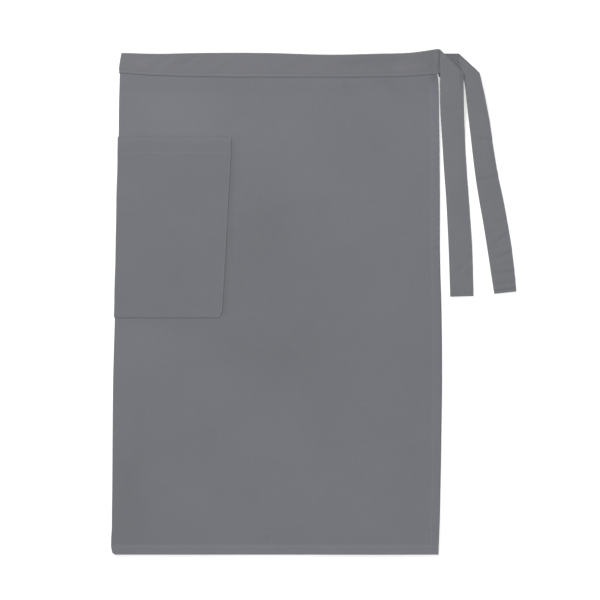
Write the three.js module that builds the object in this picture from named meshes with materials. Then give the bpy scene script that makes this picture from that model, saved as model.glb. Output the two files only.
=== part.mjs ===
// A waist apron, folded in half down its middle and laid flat with both ties turned down beside it.
// Here X runs from the fold to the open side edges, Y from the bottom hem up to the waistband, Z up.
import * as THREE from 'three';

// Driving dimensions in millimetres
const apronLength = 780;
const hemHalfWidth = 508;
const waistHalfWidth = 492;
const wall = 1;
const gap = 0.3;
const foldGap = 0.6;
const sideBow = 5.8;
const sidePeek = 1.5;

const sideHem = 13.5;
const bottomHem = 15;
const hemBuild = 0.6;
const hemStep = 0.6;
const cornerRound = 4;

const bandHeight = 37;
const bandTuck = 12;

const pocketDrop = 130;
const pocketHeight = 281;
const pocketHalfTop = 176;
const pocketHalfFoot = 167;
const pocketHem = 27;
const pocketCornerWidth = 4.5;
const pocketCornerHeight = 10;

const tieWidth = 36.5;
const tongueLength = 11;
const frontTieLength = 382;
const backTieLength = 374;
const frontTieReach = 0.2;
const backTieReach = 29.5;
const backTieDrop = 5.8;

const landing = 1;
const ease = 10;
const swellHeight = 3;

// The folded outline from the bottom up. The fold leans in by shares of the width lost between hem and
// waist, the side edges bow out by shares of sideBow, and the lower half shows past the upper one.
const outline = [
  { up: 0, lean: 0.3, bow: 0, peek: 0 },
  { up: 0.002, lean: 0.13, bow: 0.02, peek: 0 },
  { up: 0.006, lean: 0.03, bow: 0.05, peek: 0 },
  { up: 0.06, lean: 0, bow: 0.35, peek: 0.5 },
  { up: 0.13, lean: 0.03, bow: 0.58, peek: 0.8 },
  { up: 0.23, lean: 0.06, bow: 0.8, peek: 1 },
  { up: 0.35, lean: 0.12, bow: 1, peek: 1 },
  { up: 0.47, lean: 0.28, bow: 0.9, peek: 1 },
  { up: 0.6, lean: 0.44, bow: 0.45, peek: 0.8 },
  { up: 0.72, lean: 0.56, bow: 0.43, peek: 0.4 },
  { up: 0.83, lean: 0.66, bow: 0.3, peek: 0 },
  { up: 0.867, lean: 0.67, bow: 0.19, peek: 0 },
  { up: 0.906, lean: 0.7, bow: 0.14, peek: 0 },
  { up: 0.942, lean: 0.76, bow: -0.09, peek: 0 },
  { up: 0.952, lean: 0.78, bow: -0.3, peek: 0 },
  { up: 0.966, lean: 0.82, bow: -0.05, peek: 0 },
  { up: 0.976, lean: 0.87, bow: 0, peek: 0 },
  { up: 1, lean: 1, bow: 0, peek: 0 },
];

// The waistband's two long edges from fold to side edge, moved up by shares of its height
const bandEdges = [
  { across: 0, top: 0, low: 0.16 },
  { across: 0.1, top: -0.04, low: 0.07 },
  { across: 0.25, top: 0, low: 0.01 },
  { across: 0.45, top: 0, low: -0.01 },
  { across: 0.66, top: -0.075, low: -0.01 },
  { across: 0.82, top: -0.03, low: 0 },
  { across: 0.91, top: 0.005, low: 0.03 },
  { across: 0.96, top: 0.09, low: 0.08 },
  { across: 1, top: 0.175, low: 0.12 },
];

// Where the upper half stands a little off the lower one: centre and reach as shares of the half
// width and the length, rise as a share of swellHeight
const swells = [
  { across: 0.72, up: 0.2, wide: 0.3, long: 0.22, rise: 0.7 },
  { across: 0.35, up: 0.22, wide: 0.28, long: 0.18, rise: 0.5 },
  { across: 0.66, up: 0.68, wide: 0.3, long: 0.24, rise: 1 },
  { across: 0.2, up: 0.64, wide: 0.16, long: 0.14, rise: 0.4 },
];

// How each tie leaves the band, turns over on a slanting crease and runs down. Angles are in degrees:
// droop below level on the way out, lean off straight down afterwards. The upper edge starts by drop
// below the band's, and the crease by reach beyond the band. Then, along the hanging part: sideways
// drift as a share of its length, width as a share of tieWidth, also at the crease, and height above
// the floor as a share of the height at the crease.
const frontTie = {
  droop: 0,
  lean: 0,
  drop: 0,
  reach: frontTieReach,
  length: frontTieLength,
  run: [
    { down: 0, drift: 0, width: 1, height: 1 },
    { down: 0.1, drift: 0.0003, width: 1, height: 1 },
    { down: 0.17, drift: 0.0013, width: 1.005, height: 0.75 },
    { down: 0.247, drift: 0.004, width: 0.996, height: 0.28 },
    { down: 0.31, drift: 0.0075, width: 0.98, height: 0.05 },
    { down: 0.376, drift: 0.0111, width: 0.967, height: 0 },
    { down: 0.46, drift: 0.0165, width: 0.966, height: 0 },
    { down: 0.589, drift: 0.026, width: 0.968, height: 0 },
    { down: 0.8, drift: 0.0382, width: 1.005, height: 0 },
    { down: 1, drift: 0.0443, width: 0.995, height: 0 },
  ],
};
const backTie = {
  droop: 0,
  lean: 5,
  drop: backTieDrop,
  reach: backTieReach,
  length: backTieLength,
  run: [
    { down: 0, drift: 0, width: 0.74, height: 1 },
    { down: 0.074, drift: 0.0119, width: 0.71, height: 1 },
    { down: 0.118, drift: 0.0172, width: 0.75, height: 0.92 },
    { down: 0.162, drift: 0.0205, width: 0.8, height: 0.74 },
    { down: 0.249, drift: 0.0255, width: 0.874, height: 0.27 },
    { down: 0.38, drift: 0.031, width: 0.91, height: 0.02 },
    { down: 0.51, drift: 0.039, width: 0.973, height: 0 },
    { down: 0.598, drift: 0.0477, width: 1.015, height: 0 },
    { down: 0.686, drift: 0.056, width: 1.025, height: 0 },
    { down: 0.817, drift: 0.0654, width: 1.03, height: 0 },
    { down: 0.969, drift: 0.072, width: 0.97, height: 0 },
    { down: 1, drift: 0.0728, width: 0.94, height: 0 },
  ],
};

// Steps of the meshes
const turnSteps = 8;
const pocketColumns = 5;
const bodyColumns = 7;
const skirtRows = 6;
const pocketRows = 6;
const yokeRows = 3;
const bandRows = 3;
const tieColumns = 4;
const approachRows = 2;
const hangRows = 22;

// Heights that follow from the stack of layers
const layerPitch = wall + gap;
const air = 2 * hemBuild + gap;
const bandLow = apronLength - bandHeight;
const pocketTop = apronLength - pocketDrop;
const pocketFoot = pocketTop - pocketHeight;

const radians = THREE.MathUtils.degToRad;
const lerp = THREE.MathUtils.lerp;

// A table as one smooth curve over its first column, returning the other columns by name
function smoothTable(rows) {
  const [station, ...names] = Object.keys(rows[0]);
  const stations = rows.map((row) => row[station]);
  const values = rows.flatMap((row) => names.map((name) => row[name]));
  const curve = new THREE.CubicInterpolant(stations, values, names.length);
  return (at) => {
    const result = curve.evaluate(at);
    return Object.fromEntries(names.map((name, i) => [name, result[i]]));
  };
}

const outlineAt = smoothTable(outline);
const bandEdgeAt = smoothTable(bandEdges);

function evenly(count, from, to) {
  return Array.from({ length: count }, (_, i) => lerp(from, to, (i + 1) / (count + 1)));
}

// Plan of the folded cloth, at a height y that is measured before the band's edges are bent
function foldLine(y) {
  return (hemHalfWidth - waistHalfWidth) * outlineAt(y / apronLength).lean;
}

function sideLine(y, half) {
  const at = outlineAt(y / apronLength);
  const hidden = half > 0 ? sidePeek * Math.max(at.peek, 0) : 0;
  return hemHalfWidth + sideBow * at.bow - hidden;
}

function pocketHalf(y) {
  const share = (y - pocketFoot) / pocketHeight;
  return lerp(pocketHalfFoot, pocketHalfTop, THREE.MathUtils.clamp(share, 0, 1));
}

function bent(x, y) {
  const across = (x - foldLine(y)) / (sideLine(y, -1) - foldLine(y));
  const edges = bandEdgeAt(THREE.MathUtils.clamp(across, 0, 1));
  if (y < bandLow) {
    return y + bandHeight * edges.low * THREE.MathUtils.smoothstep(y, pocketTop, bandLow);
  }
  return y + bandHeight * lerp(edges.low, edges.top, (y - bandLow) / bandHeight);
}

// Shares of the pocket's and the band's extra layers at a point, 1 over them and 0 past the ease
function underPocket(x, y) {
  const edge = foldLine(y) + pocketHalf(y) + landing;
  const beside = 1 - THREE.MathUtils.smoothstep(x, edge, edge + ease);
  const above = 1 - THREE.MathUtils.smoothstep(y, pocketTop + landing, pocketTop + landing + ease);
  const below = THREE.MathUtils.smoothstep(y, pocketFoot - landing - ease, pocketFoot - landing);
  return beside * above * below;
}

function underBand(y) {
  return THREE.MathUtils.smoothstep(y, bandLow - landing - ease, bandLow - landing);
}

function swell(x, y) {
  return swells.reduce((sum, hill) => {
    const dx = (x / hemHalfWidth - hill.across) / hill.wide;
    const dy = (y / apronLength - hill.up) / hill.long;
    const left = Math.max(1 - dx * dx - dy * dy, 0);
    return sum + swellHeight * hill.rise * left * left;
  }, 0);
}

// Middle heights of the panel's lower half, which the pocket's thicker mouth lifts a little more, and
// the distance up to its upper half
function lowerLevel(x, y) {
  const mouth = pocketTop - pocketHem;
  const thicker = hemBuild * THREE.MathUtils.smoothstep(y, mouth - hemStep, mouth);
  const overPocket = (layerPitch + thicker) * underPocket(x, y);
  return wall / 2 + Math.max(overPocket, layerPitch * underBand(y));
}

function halfSpacing(x, y) {
  const inBand = 2 * layerPitch + foldGap - air;
  return wall + air + inBand * underBand(y) + swell(x, y);
}

// Stations across the folded cloth, as distances from the fold that follow the pocket and the side
function reachOf(y, half) {
  const fold = foldLine(y);
  const pocket = pocketHalf(y);
  const side = sideLine(y, half) - fold;
  const eased = pocket + landing + ease;
  const hem = side - sideHem;
  return [
    ...evenly(pocketColumns - 1, 0, pocket),
    pocket,
    pocket + landing,
    eased,
    ...evenly(bodyColumns, eased, hem),
    hem - hemStep,
    hem,
    side,
  ];
}

// The panel's middle surface at one height, from the lower side edge round the fold to the upper
// one. Each station has its point, the outward direction across the cloth and its share of the hem.
function sectionAt(y) {
  const fold = foldLine(y);
  const turnRadius = halfSpacing(fold, y) / 2;
  const turnX = fold + wall / 2 + turnRadius;
  const flat = (half) => reachOf(y, half).map((reach, i, all) => {
    const x = Math.max(fold + reach, turnX);
    const z = lowerLevel(x, y) + (half > 0 ? halfSpacing(x, y) : 0);
    return {
      point: new THREE.Vector3(x, bent(x, y), z),
      out: new THREE.Vector3(0, 0, half),
      hem: i >= all.length - 2 ? 1 : 0,
    };
  });
  const turn = Array.from({ length: turnSteps + 1 }, (_, i) => {
    const angle = Math.PI * (1.5 - i / turnSteps);
    const out = new THREE.Vector3(Math.cos(angle), 0, Math.sin(angle));
    const x = turnX + turnRadius * out.x;
    const z = lowerLevel(turnX, y) + turnRadius * (1 + out.z);
    return { point: new THREE.Vector3(x, bent(x, y), z), out, hem: 0 };
  });
  return [...flat(-1).reverse(), ...turn, ...flat(1)];
}

// A closed shell between two matching grids of points, the front one facing outwards
function shell(front, back) {
  const rows = front.length;
  const columns = front[0].length;
  const points = [...front.flat(), ...back.flat()];
  const at = (layer, row, column) => (layer * rows + row) * columns + column;
  const faces = [];
  const quad = (a, b, c, d) => faces.push(a, b, c, a, c, d);
  for (let row = 0; row < rows - 1; row += 1) {
    for (let column = 0; column < columns - 1; column += 1) {
      const next = column + 1;
      quad(at(0, row, column), at(0, row, next), at(0, row + 1, next), at(0, row + 1, column));
      quad(at(1, row, column), at(1, row + 1, column), at(1, row + 1, next), at(1, row, next));
    }
    const last = columns - 1;
    quad(at(0, row, 0), at(0, row + 1, 0), at(1, row + 1, 0), at(1, row, 0));
    quad(at(0, row, last), at(1, row, last), at(1, row + 1, last), at(0, row + 1, last));
  }
  for (let column = 0; column < columns - 1; column += 1) {
    const next = column + 1;
    const last = rows - 1;
    quad(at(0, 0, column), at(1, 0, column), at(1, 0, next), at(0, 0, next));
    quad(at(0, last, column), at(0, last, next), at(1, last, next), at(1, last, column));
  }
  const geometry = new THREE.BufferGeometry();
  const positions = points.flatMap((point) => point.toArray());
  geometry.setAttribute('position', new THREE.Float32BufferAttribute(positions, 3));
  geometry.setIndex(faces);
  geometry.computeVertexNormals();
  return geometry;
}

function offset(station, distance) {
  return station.point.clone().addScaledVector(station.out, distance);
}

// The panel: one cloth with its side and bottom hems turned to the inside, the side hems pressed flat
// where its top edge is tucked up into the waistband
function panelGeometry() {
  const rows = [
    0,
    cornerRound,
    bottomHem,
    bottomHem + hemStep,
    ...evenly(skirtRows, bottomHem, pocketFoot - landing - ease),
    pocketFoot - landing - ease,
    pocketFoot - landing,
    ...pocketLevels(),
    pocketTop + landing,
    pocketTop + landing + ease,
    ...evenly(yokeRows, pocketTop + landing + ease, bandLow - landing - ease),
    bandLow - landing - ease,
    bandLow - landing,
    bandLow + bandTuck,
  ];
  const sections = rows.map((y) => sectionAt(y));
  const front = sections.map((section) => section.map((station) => offset(station, wall / 2)));
  const back = sections.map((section, row) => section.map((station) => {
    const turned = rows[row] <= bottomHem ? 1 : station.hem * (1 - underBand(rows[row]));
    return offset(station, -wall / 2 - hemBuild * turned);
  }));
  return shell(front, back);
}

function pocketLevels() {
  return [
    pocketFoot,
    pocketFoot + pocketCornerHeight,
    ...evenly(pocketRows, pocketFoot + pocketCornerHeight, pocketTop - pocketHem - hemStep),
    pocketTop - pocketHem - hemStep,
    pocketTop - pocketHem,
    pocketTop,
  ];
}

// The pocket: one cloth over the front that goes round the fold with the panel, thicker at the
// turned hem of its mouth, with its two lower corners cut off
function pocketGeometry() {
  const levels = pocketLevels();
  const sections = levels.map((y) => {
    const section = sectionAt(y);
    const skipped = section.length / 2 - turnSteps / 2 - 0.5 - pocketColumns;
    return section.slice(skipped, section.length - skipped);
  });
  for (const edge of [sections[0].at(0), sections[0].at(-1)]) {
    edge.point.x -= pocketCornerWidth;
  }
  const inner = wall / 2 + gap;
  const front = sections.map((section, row) => section.map((station) => {
    const turned = levels[row] >= pocketTop - pocketHem ? 1 : 0;
    return offset(station, inner + wall + hemBuild * turned);
  }));
  const back = sections.map((section) => section.map((station) => offset(station, inner)));
  return shell(front, back);
}

// The waistband: one strip folded lengthwise over the panel's top edge, open along the bottom and
// at both ends
function bandGeometry() {
  const turnY = apronLength - wall / 2 - layerPitch;
  const outside = [bandLow, ...evenly(bandRows, bandLow, turnY)].map((y) => ({ y, side: 1, over: 0 }));
  const turn = Array.from({ length: turnSteps + 1 }, (_, i) => {
    const angle = Math.PI * i / turnSteps;
    return { y: turnY, side: Math.cos(angle), over: Math.sin(angle) };
  });
  const inside = [...outside].reverse().map((step) => ({ ...step, side: -1 }));
  const steps = [...outside, ...turn, ...inside];
  const surface = (radius) => steps.map((step) => sectionAt(step.y).map((station) => {
    const point = offset(station, step.side * radius);
    point.y += step.over * radius;
    return point;
  }));
  return shell(surface(layerPitch + wall / 2), surface(layerPitch - wall / 2));
}

function meetBand(half) {
  const x = sideLine(apronLength, half);
  const level = lowerLevel(x, apronLength) + (half > 0 ? halfSpacing(x, apronLength) : 0);
  return { x, level, top: bent(x, apronLength) };
}

// A tie: a flat strip sewn into the band's open end by a narrower tongue, turned over once on a
// slanting crease and lying straight down from there
function tieGeometry(form, half) {
  const end = meetBand(half);
  const out = new THREE.Vector3(Math.cos(radians(form.droop)), -Math.sin(radians(form.droop)), 0);
  const down = new THREE.Vector3(Math.sin(radians(form.lean)), -Math.cos(radians(form.lean)), 0);
  const right = new THREE.Vector3(-down.y, down.x, 0);
  const crease = out.clone().add(down).normalize();
  const beyond = new THREE.Vector3(-crease.y, crease.x, 0);
  const slant = out.angleTo(crease);
  const radius = (wall + foldGap) / 2;
  const runAt = smoothTable(form.run);
  const creaseWidth = tieWidth * runAt(0).width;
  const creaseLength = creaseWidth / Math.sin(slant);
  const inset = (radius + wall / 2) * beyond.y;
  const wide = end.x + gap;
  const start = new THREE.Vector3(wide + form.reach, end.top - form.drop - inset, end.level);
  const rows = [];
  const row = (first, last) => {
    const steps = Array.from({ length: tieColumns + 1 }, (_, i) => i / tieColumns);
    rows.push(steps.map((share) => first.clone().lerp(last, share)));
  };
  for (const x of [end.x - tongueLength, end.x - tongueLength / 2, end.x + gap / 2]) {
    const tongueTop = bent(x, apronLength) - 2 * layerPitch;
    const tongueFoot = bent(x, bandLow + bandTuck) + 2 * gap;
    row(new THREE.Vector3(x, tongueTop, end.level), new THREE.Vector3(x, tongueFoot, end.level));
  }
  const rootTop = start.clone().addScaledVector(out, -form.reach / out.x);
  const rootFoot = rootTop.clone();
  rootFoot.y -= tieWidth / out.x;
  const finish = start.clone().addScaledVector(crease, creaseLength);
  for (let i = 0; i <= approachRows; i += 1) {
    const share = i / (approachRows + 1);
    row(rootTop.clone().lerp(start, share), rootFoot.clone().lerp(finish, share));
  }
  for (let i = 0; i <= turnSteps; i += 1) {
    const angle = Math.PI * i / turnSteps;
    const shift = crease.clone().multiplyScalar(radius * angle / Math.tan(slant));
    shift.addScaledVector(beyond, radius * Math.sin(angle));
    shift.z = radius * (1 - Math.cos(angle));
    row(start.clone().add(shift), finish.clone().add(shift));
  }
  const halfSkew = creaseWidth / 2 / Math.tan(slant);
  const length = form.length - halfSkew;
  const top = start.clone().lerp(finish, 0.5);
  top.addScaledVector(crease, radius * Math.PI / Math.tan(slant));
  const middle = (share) => {
    const at = runAt(share);
    const point = top.clone().addScaledVector(down, share * length);
    point.addScaledVector(right, at.drift * length);
    point.z = lerp(wall / 2, end.level + 2 * radius, THREE.MathUtils.clamp(at.height, 0, 1));
    return point;
  };
  for (let i = 1; i <= hangRows; i += 1) {
    const share = i / hangRows;
    const centre = middle(share);
    const ahead = middle(share).sub(middle(share - 1 / hangRows)).setZ(0).normalize();
    const sideways = new THREE.Vector3(-ahead.y, ahead.x, 0);
    const skew = halfSkew * (1 - share) ** 2;
    const spread = sideways.multiplyScalar(tieWidth / 2 * runAt(share).width);
    spread.addScaledVector(ahead, skew);
    row(centre.clone().sub(spread), centre.clone().add(spread));
  }
  const normals = rows.map((line, i) => line.map((_, j) => {
    const before = rows[Math.max(i - 1, 0)][j];
    const after = rows[Math.min(i + 1, rows.length - 1)][j];
    const across = line.at(-1).clone().sub(line[0]);
    return across.cross(after.clone().sub(before)).normalize();
  }));
  const moved = (distance) => rows.map((line, i) => line.map((point, j) => (
    point.clone().addScaledVector(normals[i][j], distance))));
  return shell(moved(wall / 2), moved(-wall / 2));
}

// Woven cotton and polyester, the same grey all over, a touch lighter where it is doubled
function cloth(colour) {
  return new THREE.MeshStandardMaterial({ color: colour, roughness: 0.9, metalness: 0 });
}

function piece(name, geometry, colour) {
  const mesh = new THREE.Mesh(geometry, cloth(colour));
  mesh.name = name;
  return mesh;
}

const apron = new THREE.Group();
apron.add(piece('apron_panel', panelGeometry(), 0x75767a));
apron.add(piece('waistband', bandGeometry(), 0x79797e));
apron.add(piece('front_pocket', pocketGeometry(), 0x76777b));
apron.add(piece('tie_front', tieGeometry(frontTie, 1), 0x76757b));
apron.add(piece('tie_back', tieGeometry(backTie, -1), 0x76757b));

// The origin is under the middle of the whole laid apron, on the surface it lies on
const box = new THREE.Box3().setFromObject(apron);
const centre = box.getCenter(new THREE.Vector3());
const placed = new THREE.Group();
apron.position.set(-centre.x, -centre.y, -box.min.z);
placed.add(apron);

export default placed;
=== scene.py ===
# %% [markdown]
# A long waist apron, folded once down its middle and laid flat
#
# The real thing is five sewn pieces of one grey twill: a panel, a waistband folded over the panel's top
# edge, a patch pocket, and a tie in each end of the band. It lies folded in half, so the fold is on the
# left, both side hems are on the right, and both ties are turned over once and run down beside it.
#
# Cloth that lies flat is all small heights: a layer, a turned hem, a row of stitches sunk in. This lesson
# works those heights out with formulas on fine grids, because a draped simulation would lose the crisp
# edges of pressed cloth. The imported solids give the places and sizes, and every finished piece replaces
# its solid.

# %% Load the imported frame
import math

import bpy
import numpy as np
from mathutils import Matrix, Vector


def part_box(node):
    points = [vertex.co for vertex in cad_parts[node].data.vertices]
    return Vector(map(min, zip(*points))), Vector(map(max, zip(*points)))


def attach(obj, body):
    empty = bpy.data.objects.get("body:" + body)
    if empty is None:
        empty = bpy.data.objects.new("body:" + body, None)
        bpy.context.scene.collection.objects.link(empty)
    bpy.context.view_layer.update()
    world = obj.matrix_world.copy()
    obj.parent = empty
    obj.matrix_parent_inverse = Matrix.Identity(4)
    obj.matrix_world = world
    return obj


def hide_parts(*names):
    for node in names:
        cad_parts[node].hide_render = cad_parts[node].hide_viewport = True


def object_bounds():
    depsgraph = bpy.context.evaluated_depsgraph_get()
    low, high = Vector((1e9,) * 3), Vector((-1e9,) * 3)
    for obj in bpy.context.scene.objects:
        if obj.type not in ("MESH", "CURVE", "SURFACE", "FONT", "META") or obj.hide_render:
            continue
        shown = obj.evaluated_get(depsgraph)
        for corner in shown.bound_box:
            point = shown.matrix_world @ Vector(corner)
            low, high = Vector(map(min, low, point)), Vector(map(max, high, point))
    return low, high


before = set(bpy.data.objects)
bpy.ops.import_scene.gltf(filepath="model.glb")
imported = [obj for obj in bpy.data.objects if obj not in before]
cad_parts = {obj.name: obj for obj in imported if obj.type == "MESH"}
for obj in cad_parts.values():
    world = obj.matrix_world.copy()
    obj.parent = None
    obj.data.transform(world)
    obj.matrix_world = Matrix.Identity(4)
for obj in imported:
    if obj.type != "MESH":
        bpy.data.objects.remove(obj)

cad_box = [list(corner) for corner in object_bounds()]
MM = 0.001
print("solids to dress:", sorted(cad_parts))

# %% [markdown]
# Sizes
#
# All lengths are in millimetres until a mesh is made. They are the sizes that a pattern cutter would
# write down: the cut of each piece, the hems, and how thick the cloth is. X starts at the fold and Y at
# the bottom hem.

# %% Sizes of the apron
APRON_LENGTH = 780.0
HEM_HALF_WIDTH = 508.0
WAIST_HALF_WIDTH = 492.0
# The cloth's thickness, the air between two layers, and the extra air where cloth is folded back on itself
WALL = 1.0
GAP = 0.3
FOLD_GAP = 0.6
# How far the side edges bow out, and how far the lower one peeks out past the upper one
SIDE_BOW = 5.8
SIDE_PEEK = 1.5
SIDE_HEM = 13.5
BOTTOM_HEM = 15.0
# A turned hem is thicker by this much, on the side that it is turned to
HEM_BUILD = 0.6
BAND_HEIGHT = 37.0
# The panel reaches this far up into the band
BAND_TUCK = 12.0
POCKET_DROP = 130.0
POCKET_HEIGHT = 281.0
POCKET_HALF_TOP = 176.0
POCKET_HALF_FOOT = 167.0
POCKET_HEM = 27.0
POCKET_CORNER = (4.5, 10.0)
TIE_WIDTH = 36.5

# From one layer to the next, and the air between the two halves of the folded panel
PITCH = WALL + GAP
AIR = 2 * HEM_BUILD + GAP
BAND_LOW = APRON_LENGTH - BAND_HEIGHT
POCKET_TOP = APRON_LENGTH - POCKET_DROP
POCKET_FOOT = POCKET_TOP - POCKET_HEIGHT
print("apron is", 2 * HEM_HALF_WIDTH, "x", APRON_LENGTH, "mm, and its pocket", POCKET_HEIGHT, "mm high")

# %% [markdown]
# Tables that bend straight edges
#
# No laid cloth has straight edges. A Bezier curve could draw each one, but the grids need to ask for an
# edge at any height. So each table holds a few rows of shares, and a smooth curve through them gives every
# height in between. The slope at a row is the mean of the slopes on its two sides, which keeps the curve
# from swinging far past the rows.

# %% Smooth tables
def smooth_table(names, rows):
    """Returns at(name, where): a column of the table as a smooth curve over its first column."""
    data = np.array(rows, dtype=float)
    stations = data[:, 0]
    secants = np.diff(data, axis=0) / np.diff(stations)[:, None]
    slopes = np.vstack([secants[:1], (secants[1:] + secants[:-1]) / 2, secants[-1:]])

    def at(name, where):
        column = names.index(name)
        where = np.clip(where, stations[0], stations[-1])
        low = np.clip(np.searchsorted(stations, where, side="right") - 1, 0, len(stations) - 2)
        span = stations[low + 1] - stations[low]
        t = (where - stations[low]) / span
        value = data[low, column] * (1 + 2 * t) * (1 - t) ** 2
        value += data[low + 1, column] * (3 - 2 * t) * t ** 2
        value += slopes[low, column] * span * t * (1 - t) ** 2
        return value - slopes[low + 1, column] * span * t ** 2 * (1 - t)

    return at


# %% [markdown]
# The wandering edges
#
# On the real apron the fold leans in towards the waist, the sides bow out at the height of the thighs, and
# the band dips between its ends. The edges could be pulled into place by hand in Edit Mode. Written as
# shares of the apron's own sizes, they still fit when a size changes, and every piece can ask for them.

# %% Tables of the edges
# up is a share of the length, and the other columns are shares of the lean, bow and peek
outline = smooth_table(["up", "lean", "bow", "peek"], [
    (0, 0.3, 0, 0),
    (0.002, 0.13, 0.02, 0),
    (0.006, 0.03, 0.05, 0),
    (0.06, 0, 0.35, 0.5),
    (0.13, 0.03, 0.58, 0.8),
    (0.23, 0.06, 0.8, 1),
    (0.35, 0.12, 1, 1),
    (0.47, 0.28, 0.9, 1),
    (0.6, 0.44, 0.45, 0.8),
    (0.72, 0.56, 0.43, 0.4),
    (0.83, 0.66, 0.3, 0),
    (0.867, 0.67, 0.19, 0),
    (0.906, 0.7, 0.14, 0),
    (0.942, 0.76, -0.09, 0),
    (0.952, 0.78, -0.3, 0),
    (0.966, 0.82, -0.05, 0),
    (0.976, 0.87, 0, 0),
    (1, 1, 0, 0),
])
# across is a share of the width, and the band's two edges move by shares of its height
band_edges = smooth_table(["across", "top", "low"], [
    (0, 0, 0.16),
    (0.1, -0.04, 0.07),
    (0.25, 0, 0.01),
    (0.45, 0, -0.01),
    (0.66, -0.075, -0.01),
    (0.82, -0.03, 0),
    (0.91, 0.005, 0.03),
    (0.96, 0.09, 0.08),
    (1, 0.175, 0.12),
])
print("fold leans in by", round(HEM_HALF_WIDTH - WAIST_HALF_WIDTH, 1), "mm from hem to waist")

# %% [markdown]
# The middle surface of the folded cloth
#
# Everything sewn to the panel follows the panel, so one set of functions says where the middle of the
# panel's cloth runs. The lower half lies on the floor, and rises only over the pocket and band layers
# under it. A Cloth simulation could lay it down too, but it would round off the pressed edges and leave
# the other pieces nothing exact to be sewn to.

# %% Heights of the lower half
# A layer holds the cloth above it up to this far past its edge, and then it eases down
LANDING = 1.0
LOWER_EASE = 10.0
MOUTH_STEP = 0.6


def smoothstep(value, low, high):
    """0 below low and 1 above high, with a soft start and end between them."""
    t = np.clip((value - low) / (high - low), 0, 1)
    return t * t * (3 - 2 * t)


def fold_line(y):
    """Where the fold runs at each height, leaning in from hem to waist."""
    return (HEM_HALF_WIDTH - WAIST_HALF_WIDTH) * outline("lean", y / APRON_LENGTH)


def side_line(y, half):
    """Where a side edge runs at each height: half is 1 for the upper half and -1 for the lower one."""
    hidden = SIDE_PEEK * np.maximum(outline("peek", y / APRON_LENGTH), 0) if half > 0 else 0
    return HEM_HALF_WIDTH + SIDE_BOW * outline("bow", y / APRON_LENGTH) - hidden


def pocket_half(y):
    """Half width of the pocket between its two cut ends, which narrows towards its foot."""
    share = np.clip((y - POCKET_FOOT) / POCKET_HEIGHT, 0, 1)
    return POCKET_HALF_FOOT + (POCKET_HALF_TOP - POCKET_HALF_FOOT) * share


def bent(x, y):
    """The height at which a point comes to lie, once the band's two edges wander up and down."""
    across = np.clip((x - fold_line(y)) / (side_line(y, -1) - fold_line(y)), 0, 1)
    low, top = band_edges("low", across), band_edges("top", across)
    below = low * smoothstep(y, POCKET_TOP, BAND_LOW)
    within = low + (top - low) * (y - BAND_LOW) / BAND_HEIGHT
    return y + BAND_HEIGHT * np.where(y < BAND_LOW, below, within)


def stack(x, y, ease, mouth_step, band_ease):
    """How far the layers of pocket and band lift the cloth above them."""
    edge = fold_line(y) + pocket_half(y) + LANDING
    beside = 1 - smoothstep(x, edge, edge + ease)
    above = 1 - smoothstep(y, POCKET_TOP + LANDING, POCKET_TOP + LANDING + ease)
    below = smoothstep(y, POCKET_FOOT - LANDING - ease, POCKET_FOOT - LANDING)
    mouth = POCKET_TOP - POCKET_HEM
    thicker = HEM_BUILD * smoothstep(y, mouth - mouth_step, mouth)
    pocket = (PITCH + thicker) * beside * above * below
    band = PITCH * smoothstep(y, BAND_LOW - LANDING - band_ease, BAND_LOW - LANDING)
    return np.maximum(pocket, band)


def lower_level(x, y):
    """Height of the middle of the lower half's cloth."""
    return WALL / 2 + stack(x, y, LOWER_EASE, MOUTH_STEP, LOWER_EASE)


print("a layer lifts the lower half by", PITCH, "mm")

# %% [markdown]
# Waves and creases
#
# The upper half lies on the lower one and bridges each step softly, because cloth won't follow a sharp
# edge below it. A pressed apron that has been handled also shows swells, slow waves of a fraction of a
# millimetre, a few soft creases and short ripples at the waist seam. The waves are a sum of cosines with
# a fixed seed, so the cloth is the same on every run, and a crease is one soft stroke with a place and a
# heading. A noise texture would give waves too, but no crease in a chosen place.

# %% Waves and creases of the upper half
UPPER_EASE = 14.0
BAND_EASE = 30.0
SWELL_HEIGHT = 3.0
# across and up are shares of the half width and the length, and rise is a share of SWELL_HEIGHT
SWELLS = [
    dict(across=0.72, up=0.2, wide=0.3, long=0.22, rise=0.7),
    dict(across=0.35, up=0.22, wide=0.28, long=0.18, rise=0.5),
    dict(across=0.66, up=0.68, wide=0.3, long=0.24, rise=1.0),
    dict(across=0.2, up=0.64, wide=0.16, long=0.14, rise=0.4),
]
# Ripples at the waist seam: height, spacing, and how far down they fade
GATHER_HEIGHT = 0.16
GATHER_LENGTH = 5.2 * math.tau
GATHER_REACH = 26.0


def cosine_waves(seed, shortest, longest, height, count=18):
    """A smooth random field: waves(x, y) in millimetres, about height from middle to crest."""
    draw = np.random.default_rng(seed)
    heading = draw.uniform(0, math.tau, count)
    number = math.tau / draw.uniform(shortest, longest, count)
    phase = draw.uniform(0, math.tau, count)
    scale = height * math.sqrt(2 / count)

    def waves(x, y):
        turns = (np.cos(heading) * x[..., None] + np.sin(heading) * y[..., None]) * number + phase
        return scale * np.cos(turns).sum(axis=-1)

    return waves


slow_waves = cosine_waves(seed=3, shortest=90, longest=260, height=0.45)
fine_waves = cosine_waves(seed=8, shortest=24, longest=60, height=0.035)
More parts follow.
